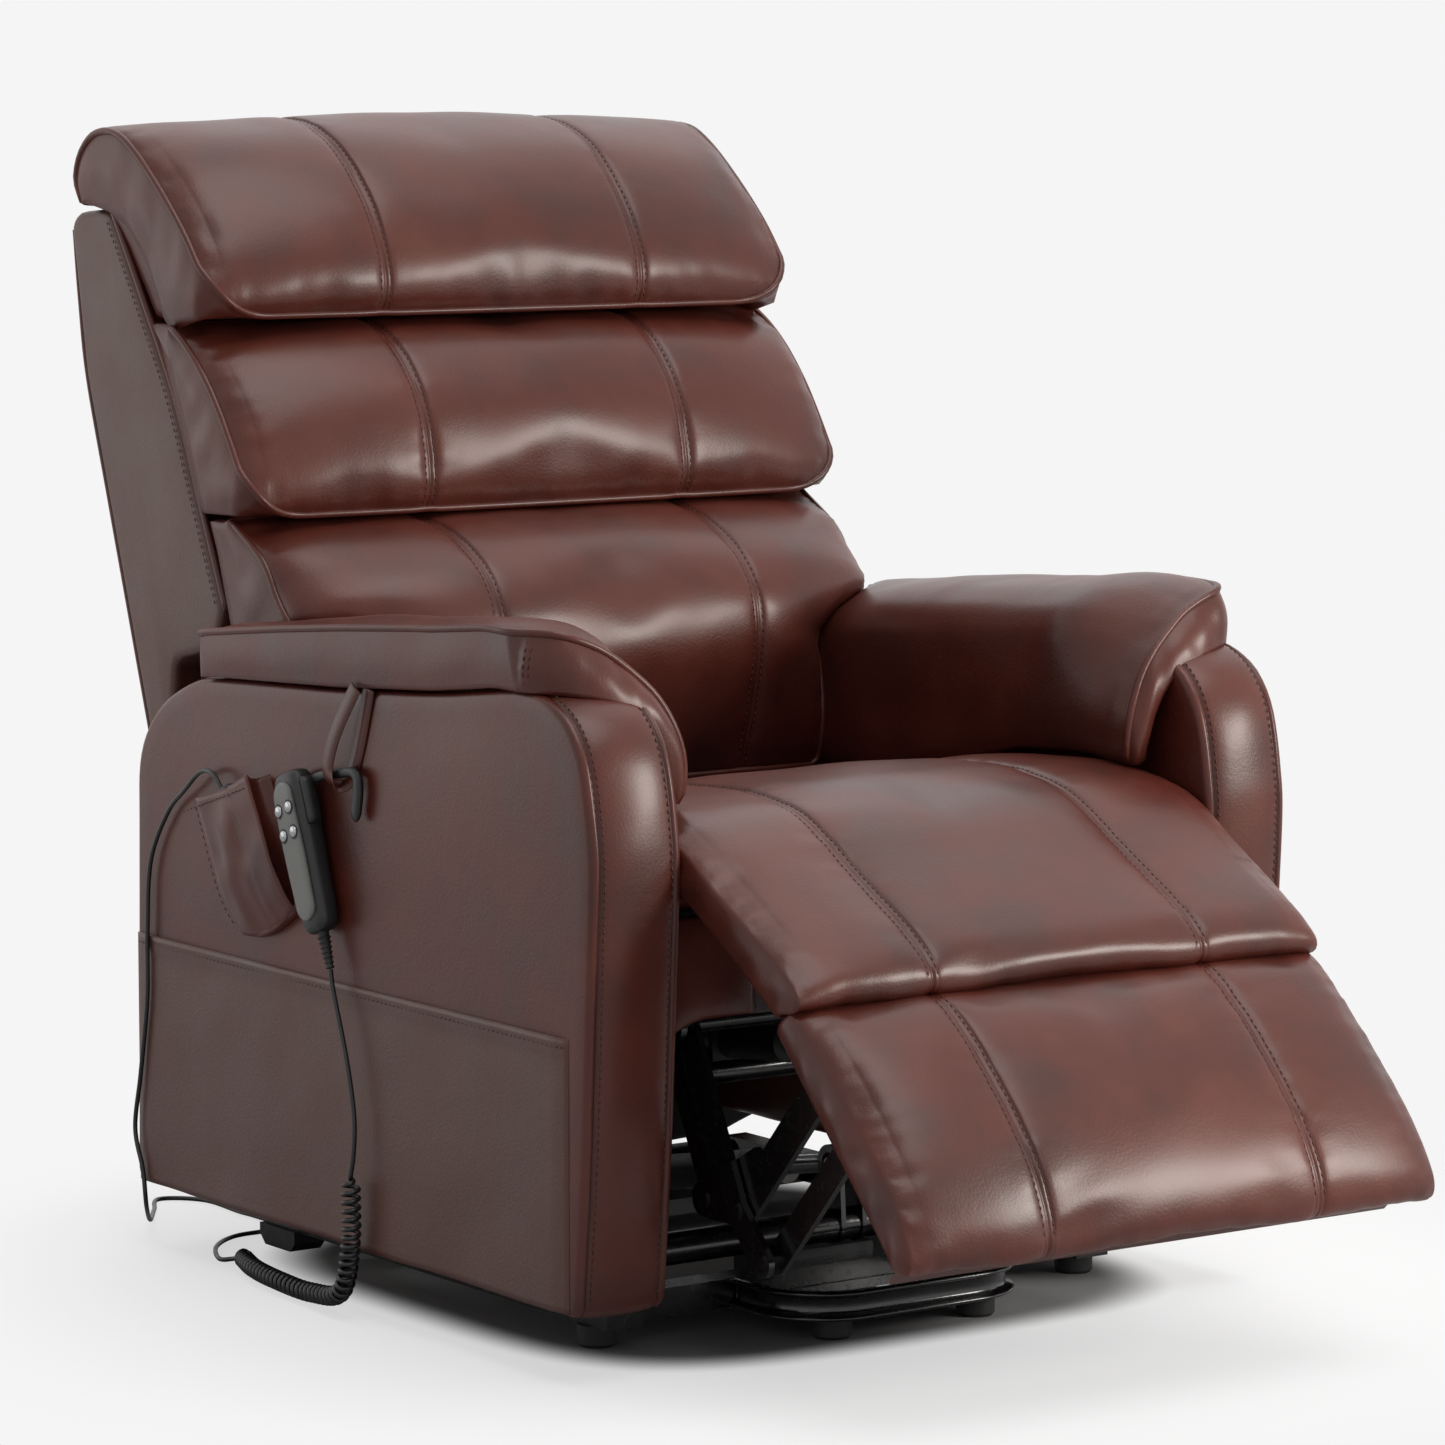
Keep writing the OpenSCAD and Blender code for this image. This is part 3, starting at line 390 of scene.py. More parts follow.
def plain_finish(
    name, colour, rough, metallic=0.0, mottled=0.06, scale=120.0, bump=0.0, bump_mm=0.3, spread=0.06,
    stretch=(1, 1, 1)
):
    """A finish with slight unevenness of colour and gloss, and a surface relief at a real spacing."""
    mat, tree, shader = principled(name)
    pos = add(tree, "ShaderNodeTexCoord").outputs["Object"]
    if stretch != (1, 1, 1):
        pos = add(tree, "ShaderNodeMapping", [(pos, "Vector")], Scale=stretch).outputs["Vector"]
    grain = add(tree, "ShaderNodeTexNoise", [(pos, "Vector")], Scale=scale, Detail=3.0, Roughness=0.6)
    ramp = add(tree, "ShaderNodeValToRGB", [(grain.outputs["Fac"], "Fac")])
    c = linear(colour)
    e = ramp.color_ramp.elements
    e[0].position, e[0].color = 0.3, (*[x * (1 - mottled) for x in c[:3]], 1)
    e[1].position, e[1].color = 0.7, (*[min(1, x * (1 + mottled)) for x in c[:3]], 1)
    tree.links.new(ramp.outputs["Color"], shader.inputs["Base Color"])
    gloss = add(tree, "ShaderNodeMapRange", [(grain.outputs["Fac"], "Value")], From_Min=0.3, From_Max=0.7)
    gloss.inputs["To Min"].default_value, gloss.inputs["To Max"].default_value = rough - spread, rough + spread
    tree.links.new(gloss.outputs["Result"], shader.inputs["Roughness"])
    shader.inputs["Metallic"].default_value = metallic
    if bump:
        fine = add(tree, "ShaderNodeTexNoise", [(pos, "Vector")], Scale=1000 / bump_mm / 3, Detail=2.0)
        b = add(tree, "ShaderNodeBump", [(fine.outputs["Fac"], "Height")], Strength=bump, Distance=0.0004)
        tree.links.new(b.outputs["Normal"], shader.inputs["Normal"])
    return mat


FIBRES = dict(mottled=0.25, scale=900.0, bump=0.6, bump_mm=1.2, spread=0.03)

# Each finish: what it is, its colour, roughness, other settings and sockets. The comments say what the eye gets.
PLAIN_FINISHES = {
    # thin dark line with a faint silky light on each stitch
    "thread": ("Bonded polyester thread", None, 0.55, dict(mottled=0.2, scale=600.0), {}),
    # deep black with sharp small lights and a little orange peel
    "black_paint": (
        "Gloss black stove enamel", "#0c0c0d", 0.24, dict(mottled=0.1, bump=0.08, bump_mm=1.5), {"Coat Weight": 0.4},
    ),
    # cool grey metal, cloudy where the crystals differ
    "zinc": ("Zinc plated steel", "#9a9c9f", 0.34, dict(metallic=1.0, mottled=0.1, scale=260.0), {}),
    # bright metal with fine lines round it
    "steel_rod": (
        "Ground steel rod", "#b4b5b8", 0.22, dict(metallic=1.0, mottled=0.05, scale=400.0, stretch=(1, 0.1, 1)), {},
    ),
    # dull black without lights
    "rubber": ("Moulded rubber", "#101010", 0.62, dict(bump=0.15, bump_mm=0.8), {}),
    # black with a broad soft light, broken by the spark texture
    "abs": ("Black ABS, fine spark texture", "#141516", 0.46, dict(bump=0.2, bump_mm=0.7), {}),
    # even mid grey with a soft light
    "grey_abs": ("Grey ABS, satin", "#6c6d69", 0.42, dict(mottled=0.04, bump=0.12, bump_mm=0.7), {}),
    # mirrors the room, slightly blurred
    "chrome": ("Chromed ABS", "#a9abae", 0.16, dict(metallic=1.0, mottled=0.03, spread=0.02), {}),
    # matt grey, short fibres, no light on it
    "felt": ("Pressed felt", "#4a3f40", 0.95, FIBRES, {"Sheen Weight": 0.3}),
    # matt black, slightly uneven
    "black_cloth": ("Spunbond dust cloth", "#1a1717", 0.95, FIBRES, {"Sheen Weight": 0.3}),
    # black with a narrow light along each curl
    "vinyl_cord": ("PVC cord jacket", "#121213", 0.38, dict(bump=0.05), {}),
}
MATS = {}


def material(key):
    """Materials are made once each, when first asked for."""
    if key not in MATS:
        look = bpy.context.scene.recliner_finish
        if key == "leather":
            # deep red brown with soft wax lights, painted shade that darkens its folds and seams, and cloudy over each
            # panel
            MATS[key] = waxed_leather("Waxed cowhide", look.leather, "#43201a", "#592920")
        elif key == "side_leather":
            # flatter and browner: an even coating with a broad dull light
            MATS[key] = waxed_leather(
                "Coated split leather", look.side_leather, "#44231c", "#4c271f", rough=(0.46, 0.54), coat=0.25,
                fold=0.1, gloss=0.5,
            )
        else:
            name, colour, rough, more, sockets = PLAIN_FINISHES[key]
            MATS[key] = plain_finish(name, colour or look.thread, rough, **more)
            for socket, value in sockets.items():
                MATS[key].node_tree.nodes["Principled BSDF"].inputs[socket].default_value = value
    return MATS[key]


# ---------------------------------------------------------------- cushions
def fine_stations(half, step=7.0):
    """Stations across X, closer together at the seams and towards the sides."""
    xs = set(np.round(np.linspace(-half, half, int(2 * half / step) + 1), 2))
    for s in (-SEAM_X, SEAM_X):
        for d in (-14, -9, -6.6, -5.2, -3.8, -2.4, -1.2, 0, 1.2, 2.4, 3.8, 5.2, 6.6, 9, 14):
            xs.add(s + d)
    for d in (0, 1.1, 2.6, 4.6, 7, 10, 13.5, 17.5, 22, 27, 33, 40, 48, 57):
        xs.add(half - d)
        xs.add(d - half)
    xs = sorted(x for x in xs if -half <= x <= half)
    keep = [xs[0]]
    for x in xs[1:]:
        if x - keep[-1] > 0.9:
            keep.append(x)
    keep[-1] = half
    return np.array(keep)


def boxed(name, face, back, rows, swell, mat):
    """Cushion of a face sheet and a back sheet (grids of as many points) with a boxing between their edges."""
    m, n = face.shape[:2]
    loop = edge_loop(m, n)
    top, low = face.reshape(-1, 3)[loop], back.reshape(-1, 3)[loop]
    out = np.cross(np.roll(top, -1, 0) - np.roll(top, 1, 0), low - top)
    out /= np.linalg.norm(out, axis=1)[:, None] + 1e-9
    if (((top + low) / 2 - (top.mean(0) + low.mean(0)) / 2) * out).sum() < 0:
        out = -out
    for _ in range(3):
        out = (np.roll(out, 1, 0) + 2 * out + np.roll(out, -1, 0)) / 4
    count = len(loop)
    verts = [face.reshape(-1, 3), back.reshape(-1, 3)]
    for k in range(1, rows):
        ring = top * (1 - k / rows) + low * (k / rows)
        verts.append(ring + out * np.asarray(swell(ring, k / rows))[:, None])
    faces = both_sides(m, n)
    ids = [loop] + [2 * m * n + k * count + np.arange(count) for k in range(rows - 1)] + [m * n + loop]
    for a, b in zip(ids[:-1], ids[1:]):
        for c in range(count):
            d = (c + 1) % count
            faces.append((a[c], b[c], b[d], a[d]))
    return new_mesh(name, np.vstack(verts), faces, mat)


def pumped(obj, pinned, pressure, cap, frames=14, slack=0.012):
    """Cloth simulation: the cover fills out between its pinned seams, then keeps that shape."""
    scene, mesh = bpy.context.scene, obj.data
    count = len(mesh.vertices)
    start = np.zeros(count * 3)
    mesh.vertices.foreach_get("co", start)
    group = obj.vertex_groups.new(name="seams")
    group.add([int(i) for i in pinned], 1.0, "REPLACE")
    cloth = obj.modifiers.new("cover", "CLOTH")
    s = cloth.settings
    s.quality, s.mass, s.air_damping = 4, 0.3, 2.0
    s.tension_stiffness = s.compression_stiffness = 12
    s.shear_stiffness, s.bending_stiffness = 5, 2.5
    s.vertex_group_mass, s.pin_stiffness = "seams", 8.0
    s.use_pressure, s.uniform_pressure_force = True, pressure
    s.shrink_min = s.shrink_max = -slack
    s.effector_weights.gravity = 0
    cloth.collision_settings.use_collision = False
    cloth.point_cache.frame_start, cloth.point_cache.frame_end = 1, frames
    for frame_number in range(1, frames + 1):
        scene.frame_set(frame_number)
    shaped = obj.evaluated_get(bpy.context.evaluated_depsgraph_get()).to_mesh()
    end = np.zeros(count * 3)
    shaped.vertices.foreach_get("co", end)
    obj.modifiers.remove(cloth)
    obj.vertex_groups.clear()
    scene.frame_set(1)
    move = (end - start).reshape(-1, 3)
    # the fill gives broad shapes: fine creases of the simulated cover are evened out
    edges = np.zeros(len(mesh.edges) * 2, int)
    mesh.edges.foreach_get("vertices", edges)
    a, b = edges.reshape(-1, 2).T
    near = np.bincount(a, minlength=count) + np.bincount(b, minlength=count)
    held = np.array(sorted(pinned))
    for _ in range(EVENING_ROUNDS):
        total = np.zeros_like(move)
        np.add.at(total, a, move[b])
        np.add.at(total, b, move[a])
        move = (1 - EVENING) * move + EVENING * total / near[:, None]
        move[held] = 0
    size = np.linalg.norm(move, axis=1) + 1e-9
    limit = cap * MM
    move *= (limit * np.tanh(size / limit) / size)[:, None]
    mesh.vertices.foreach_set("co", start + move.ravel())
    mesh.update()


class Pad:
    """A stitched pad across X. Its face runs between a line at the sides and one in the middle, with seams
    sewn fore and aft; its back follows a line of its own."""

    def __init__(
        self, side, middle, back, half, corner=0.0, round_to=6.0, crown=0.25, seed=1, rows=56, dent=0.7, seam_end=1.0,
        deep=None
    ):
        self.side, self.middle = curve_through(side, rows), curve_through(middle, rows)
        self.back = evenly(np.asarray(back, float), rows)
        self.half, self.corner, self.round_to, self.crown, self.rows = half, corner, round_to, crown, rows
        self.dent, self.seam_end = dent, seam_end
        self.deep = self.back if deep is None else evenly(np.asarray(deep, float), rows)
        self.length = line_length(self.middle)
        self.seed = seed
        self.xs = fine_stations(half)

    def width(self, v):
        """Half width at share v of the face: a pad may flare."""
        return np.full(np.shape(v), self.half)

    def wide(self, x, v):
        """Where station x lies at share v: a flare moves what is outside the seams."""
        w = self.width(np.asarray(v, float))
        if abs(x) <= SEAM_X + 18:
            return np.full(np.shape(w), float(x))
        inner = SEAM_X + 18
        return math.copysign(1, x) * (inner + (abs(x) - inner) * (w - inner) / (self.half - inner))

    def trim(self, x):
        """Where the face starts at x: its low corners are rounded."""
        d = abs(x) - (self.half - self.corner)
        if self.corner <= 0 or d <= 0:
            return 0.0
        return (self.corner - math.sqrt(max(0.0, self.corner**2 - min(d, self.corner) ** 2))) / self.length

    def relief(self, x, v):
        """Seams and the gathers that they make, out of the face, in millimetres."""
        s = v * self.length
        seam = abs(abs(x) - SEAM_X)
        edge = np.minimum(np.minimum(s, self.length - s), self.half - abs(x))
        shown = np.clip((self.seam_end - v) * 30, 0, 1)
        out = -(1.3 * math.exp(-((seam / 9.0) ** 2)) + 1.5 * math.exp(-((seam / 1.5) ** 2))) * self.dent * shown
        out = out - 0.7 * self.dent * shown * math.exp(-(((seam - 5.2) / 1.3) ** 2))
        at_side = math.exp(-(((self.half - abs(x)) / 30.0) ** 2))
        at_seam = 0.45 * math.exp(-((seam / 22.0) ** 2)) * (1 if seam > 2 else 0)
        at_low = np.exp(-((s / 34.0) ** 2))
        gathers = (
            np.array([wrinkle(0.15 * x, a, self.seed, 15, 1.7 * self.seed) for a in s]) * (at_side + at_seam) * 2.0
        )
        rim = math.exp(-(((self.half - abs(x) - 5) / 9.0) ** 2))
        gathers = gathers + np.array([wrinkle(0.3 * x, a, self.seed, 6.5, 6.1) for a in s]) * rim * 1.1
        low = np.array([wrinkle(x, 0.25 * a, self.seed + 9, 21, 2.3) for a in s]) * at_low * 2.2
        broad = np.array([wrinkle(x, a, self.seed, 95, 4.0) for a in s]) * 1.9
        return out + (gathers + low + broad) * np.clip(edge / 7, 0, 1)

    def face(self, x, v):
        """Points (x, y, z) of the face at station x and shares v, with the outward direction."""
        v = np.atleast_1d(np.asarray(v, float))
        a = min(1.0, abs(x) / self.half)
        g = (1 - self.crown * a * a) * math.sqrt(max(0.0, 1 - a**self.round_to))
        side, middle = at(self.side, v), at(self.middle, v)
        p = side + (middle - side) * g
        d = (
            np.gradient(p, axis=0) if len(v) > 2
            else at(self.middle, np.minimum(v + 0.02, 1)) - at(self.middle, np.maximum(v - 0.02, 0))
        )
        n = np.stack([-d[:, 1], d[:, 0]], 1)
        n /= np.linalg.norm(n, axis=1)[:, None] + 1e-9
        p = p + n * self.relief(x, v)[:, None]
        return np.column_stack([self.wide(x, v), p[:, 0], p[:, 1]]), np.column_stack([np.zeros(len(v)), n])

    def swell(self, ring, t):
        """How far the boxing stands out at share t of its height."""
        wave = np.array([wrinkle(0.3 * p[0], p[1], p[2], 30, self.seed + 3) for p in ring])
        return (3.2 + 2.6 * wave) * math.sin(math.pi * t)

    def mesh(self, name, mat, walls=9, pressure=0.0, cap=6.0):
        face, back = [], []
        for x in self.xs:
            v = np.linspace(self.trim(x), 1, self.rows)
            p, _ = self.face(x, v)
            face.append(p)
            t = min(1.0, max(0.0, (self.half - 2 - abs(x)) / 12))
            line = self.back * (1 - t) + self.deep * t
            if self.corner:
                rise = self.trim(x) * 0.3
                line = at(line, rise + (1 - rise) * np.linspace(0, 1, self.rows))
            back.append(np.column_stack([self.wide(x, v), line]))
        face, back = np.array(face), np.array(back)
        obj = boxed(name, face, back, walls, self.swell, mat)
        if pressure:
            m, n = face.shape[:2]
            pins = set(range(m * n, 2 * m * n))
            for i, x in enumerate(self.xs):
                for j in range(n):
                    if i in (0, m - 1) or j in (0, n - 1) or abs(abs(x) - SEAM_X) < 6:
                        pins.add(i * n + j)
            pumped(obj, pins, pressure, cap)
        return obj

    def border(self):
        """The face's edge from the top at one side, down, across the bottom and up the other side."""
        path = []
        for v in np.linspace(1, self.trim(self.half), 60):
            path.append(self.face(-self.half, [v, v])[0][0])
        bend = np.linspace(0, math.pi / 2, 12)
        xs = np.concatenate([
            -self.half + self.corner * (1 - np.cos(bend))[1:],
            np.linspace(-self.half + self.corner, self.half - self.corner, 70)[1:-1],
            (self.half - self.corner * (1 - np.cos(bend)))[::-1][:-1],
        ])
        for x in xs:
            path.append(self.face(x, [self.trim(x)] * 2)[0][0])
        for v in np.linspace(self.trim(self.half), 1, 60):
            path.append(self.face(self.half, [v, v])[0][0])
        return np.array(path)

    def seam_stitches(self, v0=0.02, v1=0.98, offset=5.2):
        parts = []
        v = np.linspace(v0, v1, 110)
        for s in (-1, 1):
            for d in (-offset, offset):
                p, n = self.face(s * SEAM_X + d, v)
                parts += stitches(p + 0.25 * n, n)
        return parts


def wrinkle(x, y, z, size, seed):
    """Smooth noise from -1 to 1 with features about as wide as size."""
    return noise.noise(Vector((x / size + seed, y / size, z / size)))


def paint_hollow_shade(obj):
    """Stores how hollow each vertex lies, as painted shade: the leather is darkened in seams and folds."""
    mesh = obj.data
    n = len(mesh.vertices)
    co = np.zeros(n * 3)
    mesh.vertices.foreach_get("co", co)
    co = co.reshape(-1, 3)
    no = np.zeros(n * 3)
    mesh.vertices.foreach_get("normal", no)
    no = no.reshape(-1, 3)
    edges = np.zeros(len(mesh.edges) * 2, int)
    mesh.edges.foreach_get("vertices", edges)
    edges = edges.reshape(-1, 2)
    hollow = np.zeros(n)
    count = np.zeros(n)
    d = co[edges[:, 1]] - co[edges[:, 0]]
    size = np.linalg.norm(d, axis=1) + 1e-9
    np.add.at(hollow, edges[:, 0], (d * no[edges[:, 0]]).sum(1) / size)
    np.add.at(hollow, edges[:, 1], (-d * no[edges[:, 1]]).sum(1) / size)
    np.add.at(count, edges[:, 0], 1)
    np.add.at(count, edges[:, 1], 1)
    value = np.clip(hollow / np.maximum(count, 1) * 3.0, 0, 1)
    for _ in range(2):
        total = np.zeros(n)
        np.add.at(total, edges[:, 0], value[edges[:, 1]])
        np.add.at(total, edges[:, 1], value[edges[:, 0]])
        value = 0.5 * value + 0.5 * total / np.maximum(count, 1)
    layer = mesh.attributes.get("painted_hollow_shade") or mesh.attributes.new("painted_hollow_shade", "FLOAT", "POINT")
    layer.data.foreach_set("value", value.astype(np.float32))


def leather_piece(obj, body, node_names=()):
    """Leather with painted shade in its hollows, tied to its body, with the frame nodes that it replaces hidden."""
    paint_hollow_shade(obj)
    if body and obj.parent is None:
        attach(obj, body)
    if node_names:
        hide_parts(*node_names)
    return obj


def piping(name, path, body, radius=4.2, up=(0.0, 1.0, 0.02)):
    """A corded edge seam along a path."""
    path = evenly(np.asarray(path, float), max(12, int(line_length(path) / 9)))
    obj = tube(name, path, radius, material("leather"), body, 10, up)
    paint_hollow_shade(obj)
    return obj


def thread_piece(name, parts, body):
    """A row of stitches as one piece of thread."""
    obj = joined(name, parts, material("thread"), body)
    return obj


# ---------------------------------------------------------------- cords
def cord_curve(name, path, diameter, body):
    """An open curve with a round section along a path in millimetres."""
    data = bpy.data.curves.new(name, "CURVE")
    data.dimensions = "3D"
    spline = data.splines.new("POLY")
    spline.points.add(len(path) - 1)
    for point, co in zip(spline.points, path):
        point.co = (*(np.asarray(co, float) * MM), 1)
    data.bevel_depth = diameter / 2 * MM
    data.bevel_resolution = 3
    data.use_fill_caps = True
    obj = bpy.data.objects.new(name, data)
    bpy.context.scene.collection.objects.link(obj)
    data.materials.append(material("vinyl_cord"))
    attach(obj, body)
    return obj


HAND_TOP = [(-402, 64.5, 319.5), (-402, 60, 300), (-402, 38, 240), (-402, 26, 190), (-403, 26, 156)]
CURL_AXIS = [
    (-404, 30, 134), (-404, 30, 76), (-402, 50, 26), (-396, 112, 13), (-393, 176, 12.5), (-384, 234, 12.5),
    (-366, 288, 12.5)
]
HAND_TAIL = [
    (-362, 310, 6), (-366, 330, 3), (-340, 380, 3), (-300, 412, 3), (-250, 416, 3), (-200, 390, 12), (-168, 330, 60),
    (-164, 308, 140), (-164, 309, 190), (-164, 302, 219), (-164, 289, 222),
]
POCKET_ROUTE = [
    (-400, 257.5, 461.3), (-400, 276, 476), (-398, 302, 474), (-396, 334, 454), (-393, 372, 428), (-392.5, 406, 378),
    (-392.5, 414, 310),
    (-392.5, 416, 243), (-392.5, 430, 170), (-392.5, 442, 115), (-392.5, 428, 76), (-388, 430, 40), (-350, 490, 12),
    (-300, 570, 3), (-270, 612, 3), (-236, 580, 3), (-236, 500, 3), (-228, 420, 7), (-190, 340, 40), (-184, 306, 130),
    (-184, 309, 190), (-184, 302, 219), (-184, 289, 222),
]


def hand_cord_path(curls, curl_d, cord_d):
    """The hand control's cord: hanging stretch, curls, tail on the floor and up to the control box."""
    axis = curve_through(CURL_AXIS, 260)
    _, u, v = frames_along(axis)
    count = curls * 16
    radius = (curl_d - cord_d) / 2
    helix = []
    for k in range(count + 1):
        s = k / count * (len(axis) - 1)
        i = min(int(s), len(axis) - 2)
        f = s - i
        c = axis[i] * (1 - f) + axis[i + 1] * f
        r = radius * min(1.0, k / 16, (count - k) / 16)
        phi = 2 * math.pi * k / 16
        helix.append(c + r * (math.cos(phi) * u[i] + math.sin(phi) * v[i]))
    helix = np.array(helix)
    top = curve_through(HAND_TOP + [tuple(helix[0])], 60)[:-1]
    tail = curve_through([tuple(helix[-1])] + HAND_TAIL, 150)[1:]
    return np.vstack([top, helix, tail])


# ---------------------------------------------------------------- add-on
class ReclinerFinish(bpy.types.PropertyGroup):
    """Colours of the upholstery."""

    leather: bpy.props.StringProperty(
        name="Leather", description="Colour of the waxed hide, as #rrggbb", default="#50221a"
    )
    side_leather: bpy.props.StringProperty(
        name="Side leather", description="Colour of the coated leather on the outer sides, as #rrggbb",
        default="#48251d"
    )
    thread: bpy.props.StringProperty(
        name="Thread", description="Colour of the stitching, as #rrggbb", default="#401b14"
    )


class ReclinerSizes(bpy.types.PropertyGroup):
    """Sizes of the soft work and the cords."""

    fill: bpy.props.FloatProperty(
        name="Fill", description="Pressure that pumps the cushions up between their seams", default=2.0, min=0, max=8
    )
    curl: bpy.props.FloatProperty(
        name="Curl width", description="Width over the curls of the cord, in millimetres", default=19.0, min=15,
        max=24
    )
    curls: bpy.props.IntProperty(name="Curls", description="Number of curls in the cord", default=44, min=20, max=52)
    cord: bpy.props.FloatProperty(
        name="Cord", description="Thickness of the cords, in millimetres", default=4.5, min=3.5, max=6
    )


class RECLINER_OT_stage(bpy.types.Operator):
    """Adds the camera, floor, backdrop and lights"""

    bl_idname = "recliner.stage"
    bl_label = "Studio"

    def execute(self, context):
        scene = context.scene
        data = bpy.data.cameras.new("camera")
        data.lens, data.sensor_width, data.sensor_fit = LENS, SENSOR, "HORIZONTAL"
        data.clip_end = 60
        cam = bpy.data.objects.new("camera", data)
        cam.location = CAMERA_AT
        cam.rotation_euler = Vector(CAMERA_AIM).to_track_quat("-Z", "Y").to_euler()
        scene.collection.objects.link(cam)
        scene.camera = cam

        size = FLOOR_HALF
        mesh = bpy.data.meshes.new("floor")
        mesh.from_pydata([(-size, -size, 0), (size, -size, 0), (size, size, 0), (-size, size, 0)], [], [(0, 1, 2, 3)])
        floor = bpy.data.objects.new("floor", mesh)
        scene.collection.objects.link(floor)
        mat, tree, shader = principled("Painted studio floor")
        seen = add(tree, "ShaderNodeLightPath")
        pos = add(tree, "ShaderNodeTexCoord").outputs["Object"]
        reach = add(tree, "ShaderNodeVectorMath", [(pos, 0)], operation="LENGTH")
        far = add(
            tree, "ShaderNodeMapRange", [(reach.outputs["Value"], "Value")], interpolation_type="SMOOTHSTEP",
            From_Min=0.5, From_Max=0.9
        )
        # under the object the floor loses its glow and shows only the lamp light that reaches it: the patch, shaped
        # like the footprint, is painted shade on top of the real shadow
        flat = add(
            tree, "ShaderNodeMapping", [(pos, "Vector")], Location=(0, -SHADE_AT_Y, 0),
            Scale=(1 / SHADE_HALF_X, 1 / SHADE_HALF_Y, 0)
        )
        flat.vector_type = "POINT"
        power = add(tree, "ShaderNodeVectorMath", [(flat.outputs[0], 0), (flat.outputs[0], 1)], operation="MULTIPLY")
        fourth = add(
            tree, "ShaderNodeVectorMath", [(power.outputs[0], 0), (power.outputs[0], 1)], operation="DOT_PRODUCT"
        )
        outside_painted_shade_patch = add(
            tree, "ShaderNodeMapRange", [(fourth.outputs["Value"], "Value")], interpolation_type="SMOOTHSTEP",
            From_Min=0.6, From_Max=1.3
        )
        glow_level = add(tree, "ShaderNodeMath", [(outside_painted_shade_patch.outputs["Result"], 0)], operation="MULTIPLY")
        glow_level.inputs[1].default_value = FLOOR_GLOW
        lit = add(tree, "ShaderNodeBsdfDiffuse", Color=(0.35, 0.35, 0.352, 1))
        glow = add(tree, "ShaderNodeEmission", [(glow_level.outputs[0], "Strength")], Color=(1, 1, 1, 1))
        near = add(tree, "ShaderNodeAddShader", [(lit.outputs[0], 0), (glow.outputs[0], 1)])
        plain = add(tree, "ShaderNodeEmission", Color=(1, 1, 1, 1), Strength=BACKDROP_SEEN)
        shown = add(
            tree, "ShaderNodeMixShader", [(far.outputs["Result"], 0), (near.outputs[0], 1), (plain.outputs[0], 2)]
        )
        out = tree.nodes["Material Output"]
        shader.inputs["Base Color"].default_value = linear("#c9c9ca")
        shader.inputs["Roughness"].default_value = 0.9
        mix = add(
            tree, "ShaderNodeMixShader",
            [(seen.outputs["Is Camera Ray"], 0), (shader.outputs[0], 1), (shown.outputs[0], 2)]
        )
        tree.links.new(mix.outputs[0], out.inputs["Surface"])
        mesh.materials.append(mat)

        world = bpy.data.worlds.new("studio")
        scene.world = world
        world.use_nodes = True
        tree = world.node_tree
        back = tree.nodes["Background"]
        seen = add(tree, "ShaderNodeLightPath")
        one = add(
            tree, "ShaderNodeMath", [(seen.outputs["Is Camera Ray"], 0), (seen.outputs["Is Glossy Ray"], 1)],
            operation="ADD"
        )
        two = add(
            tree, "ShaderNodeMath", [(one.outputs[0], 0), (seen.outputs["Is Transmission Ray"], 1)], operation="ADD",
            use_clamp=True
        )
        level = add(tree, "ShaderNodeMapRange", [(two.outputs[0], "Value")])
        level.inputs["To Min"].default_value, level.inputs["To Max"].default_value = BACKDROP_LIGHT, BACKDROP_SEEN
        tree.links.new(level.outputs["Result"], back.inputs["Strength"])
        back.inputs["Color"].default_value = (1, 1, 1, 1)
        for name, energy, angle, direction in (
            ("key", 1.15, 40, (-0.10, 0.30, -1.0)),
            ("top_back", 0.5, 60, (-0.35, -0.5, -1.0)),
        ):
            sun = bpy.data.lights.new(name, "SUN")
            sun.energy, sun.angle = energy, math.radians(angle)
            lamp = bpy.data.objects.new(name, sun)
            lamp.rotation_euler = Vector(direction).to_track_quat("-Z", "Y").to_euler()
            scene.collection.objects.link(lamp)
        for name, power, size, place, aim in (
            ("front_right", 64, (1.0, 0.8), (1.85, -2.6, 1.3), (0, -0.1, 0.75)),
            ("side_back", 9, (2.0, 1.6), (-2.3, 2.6, 0.85), (0, 0, 0.6)),
        ):
            area = bpy.data.lights.new(name, "AREA")
            area.shape = "RECTANGLE"
            area.energy, area.size, area.size_y = power, *size
            area.color = (1, 0.955, 0.91)
            lamp = bpy.data.objects.new(name, area)
            lamp.location = place
            lamp.rotation_euler = (Vector(aim) - Vector(place)).to_track_quat("-Z", "Y").to_euler()
            scene.collection.objects.link(lamp)
        scene.view_settings.view_transform = "Standard"
        return {"FINISHED"}


class RECLINER_OT_cords(bpy.types.Operator):
    """Adds the curly cord of the hand control and the cord of the control in the pocket"""

    bl_idname = "recliner.cords"
    bl_label = "Cords"

    def execute(self, context):
        size = context.scene.recliner_sizes
        path = hand_cord_path(size.curls, size.curl, size.cord)
        cord = cord_curve("hand_control_cord", path, size.cord, "chair")
        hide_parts("hand_cord", "curly_cord", "cord_tail")
        path = curve_through(POCKET_ROUTE, 260)
        cord = cord_curve("pocket_control_cord", path, size.cord, "chair")
        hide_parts("pocket_cord")
        return {"FINISHED"}


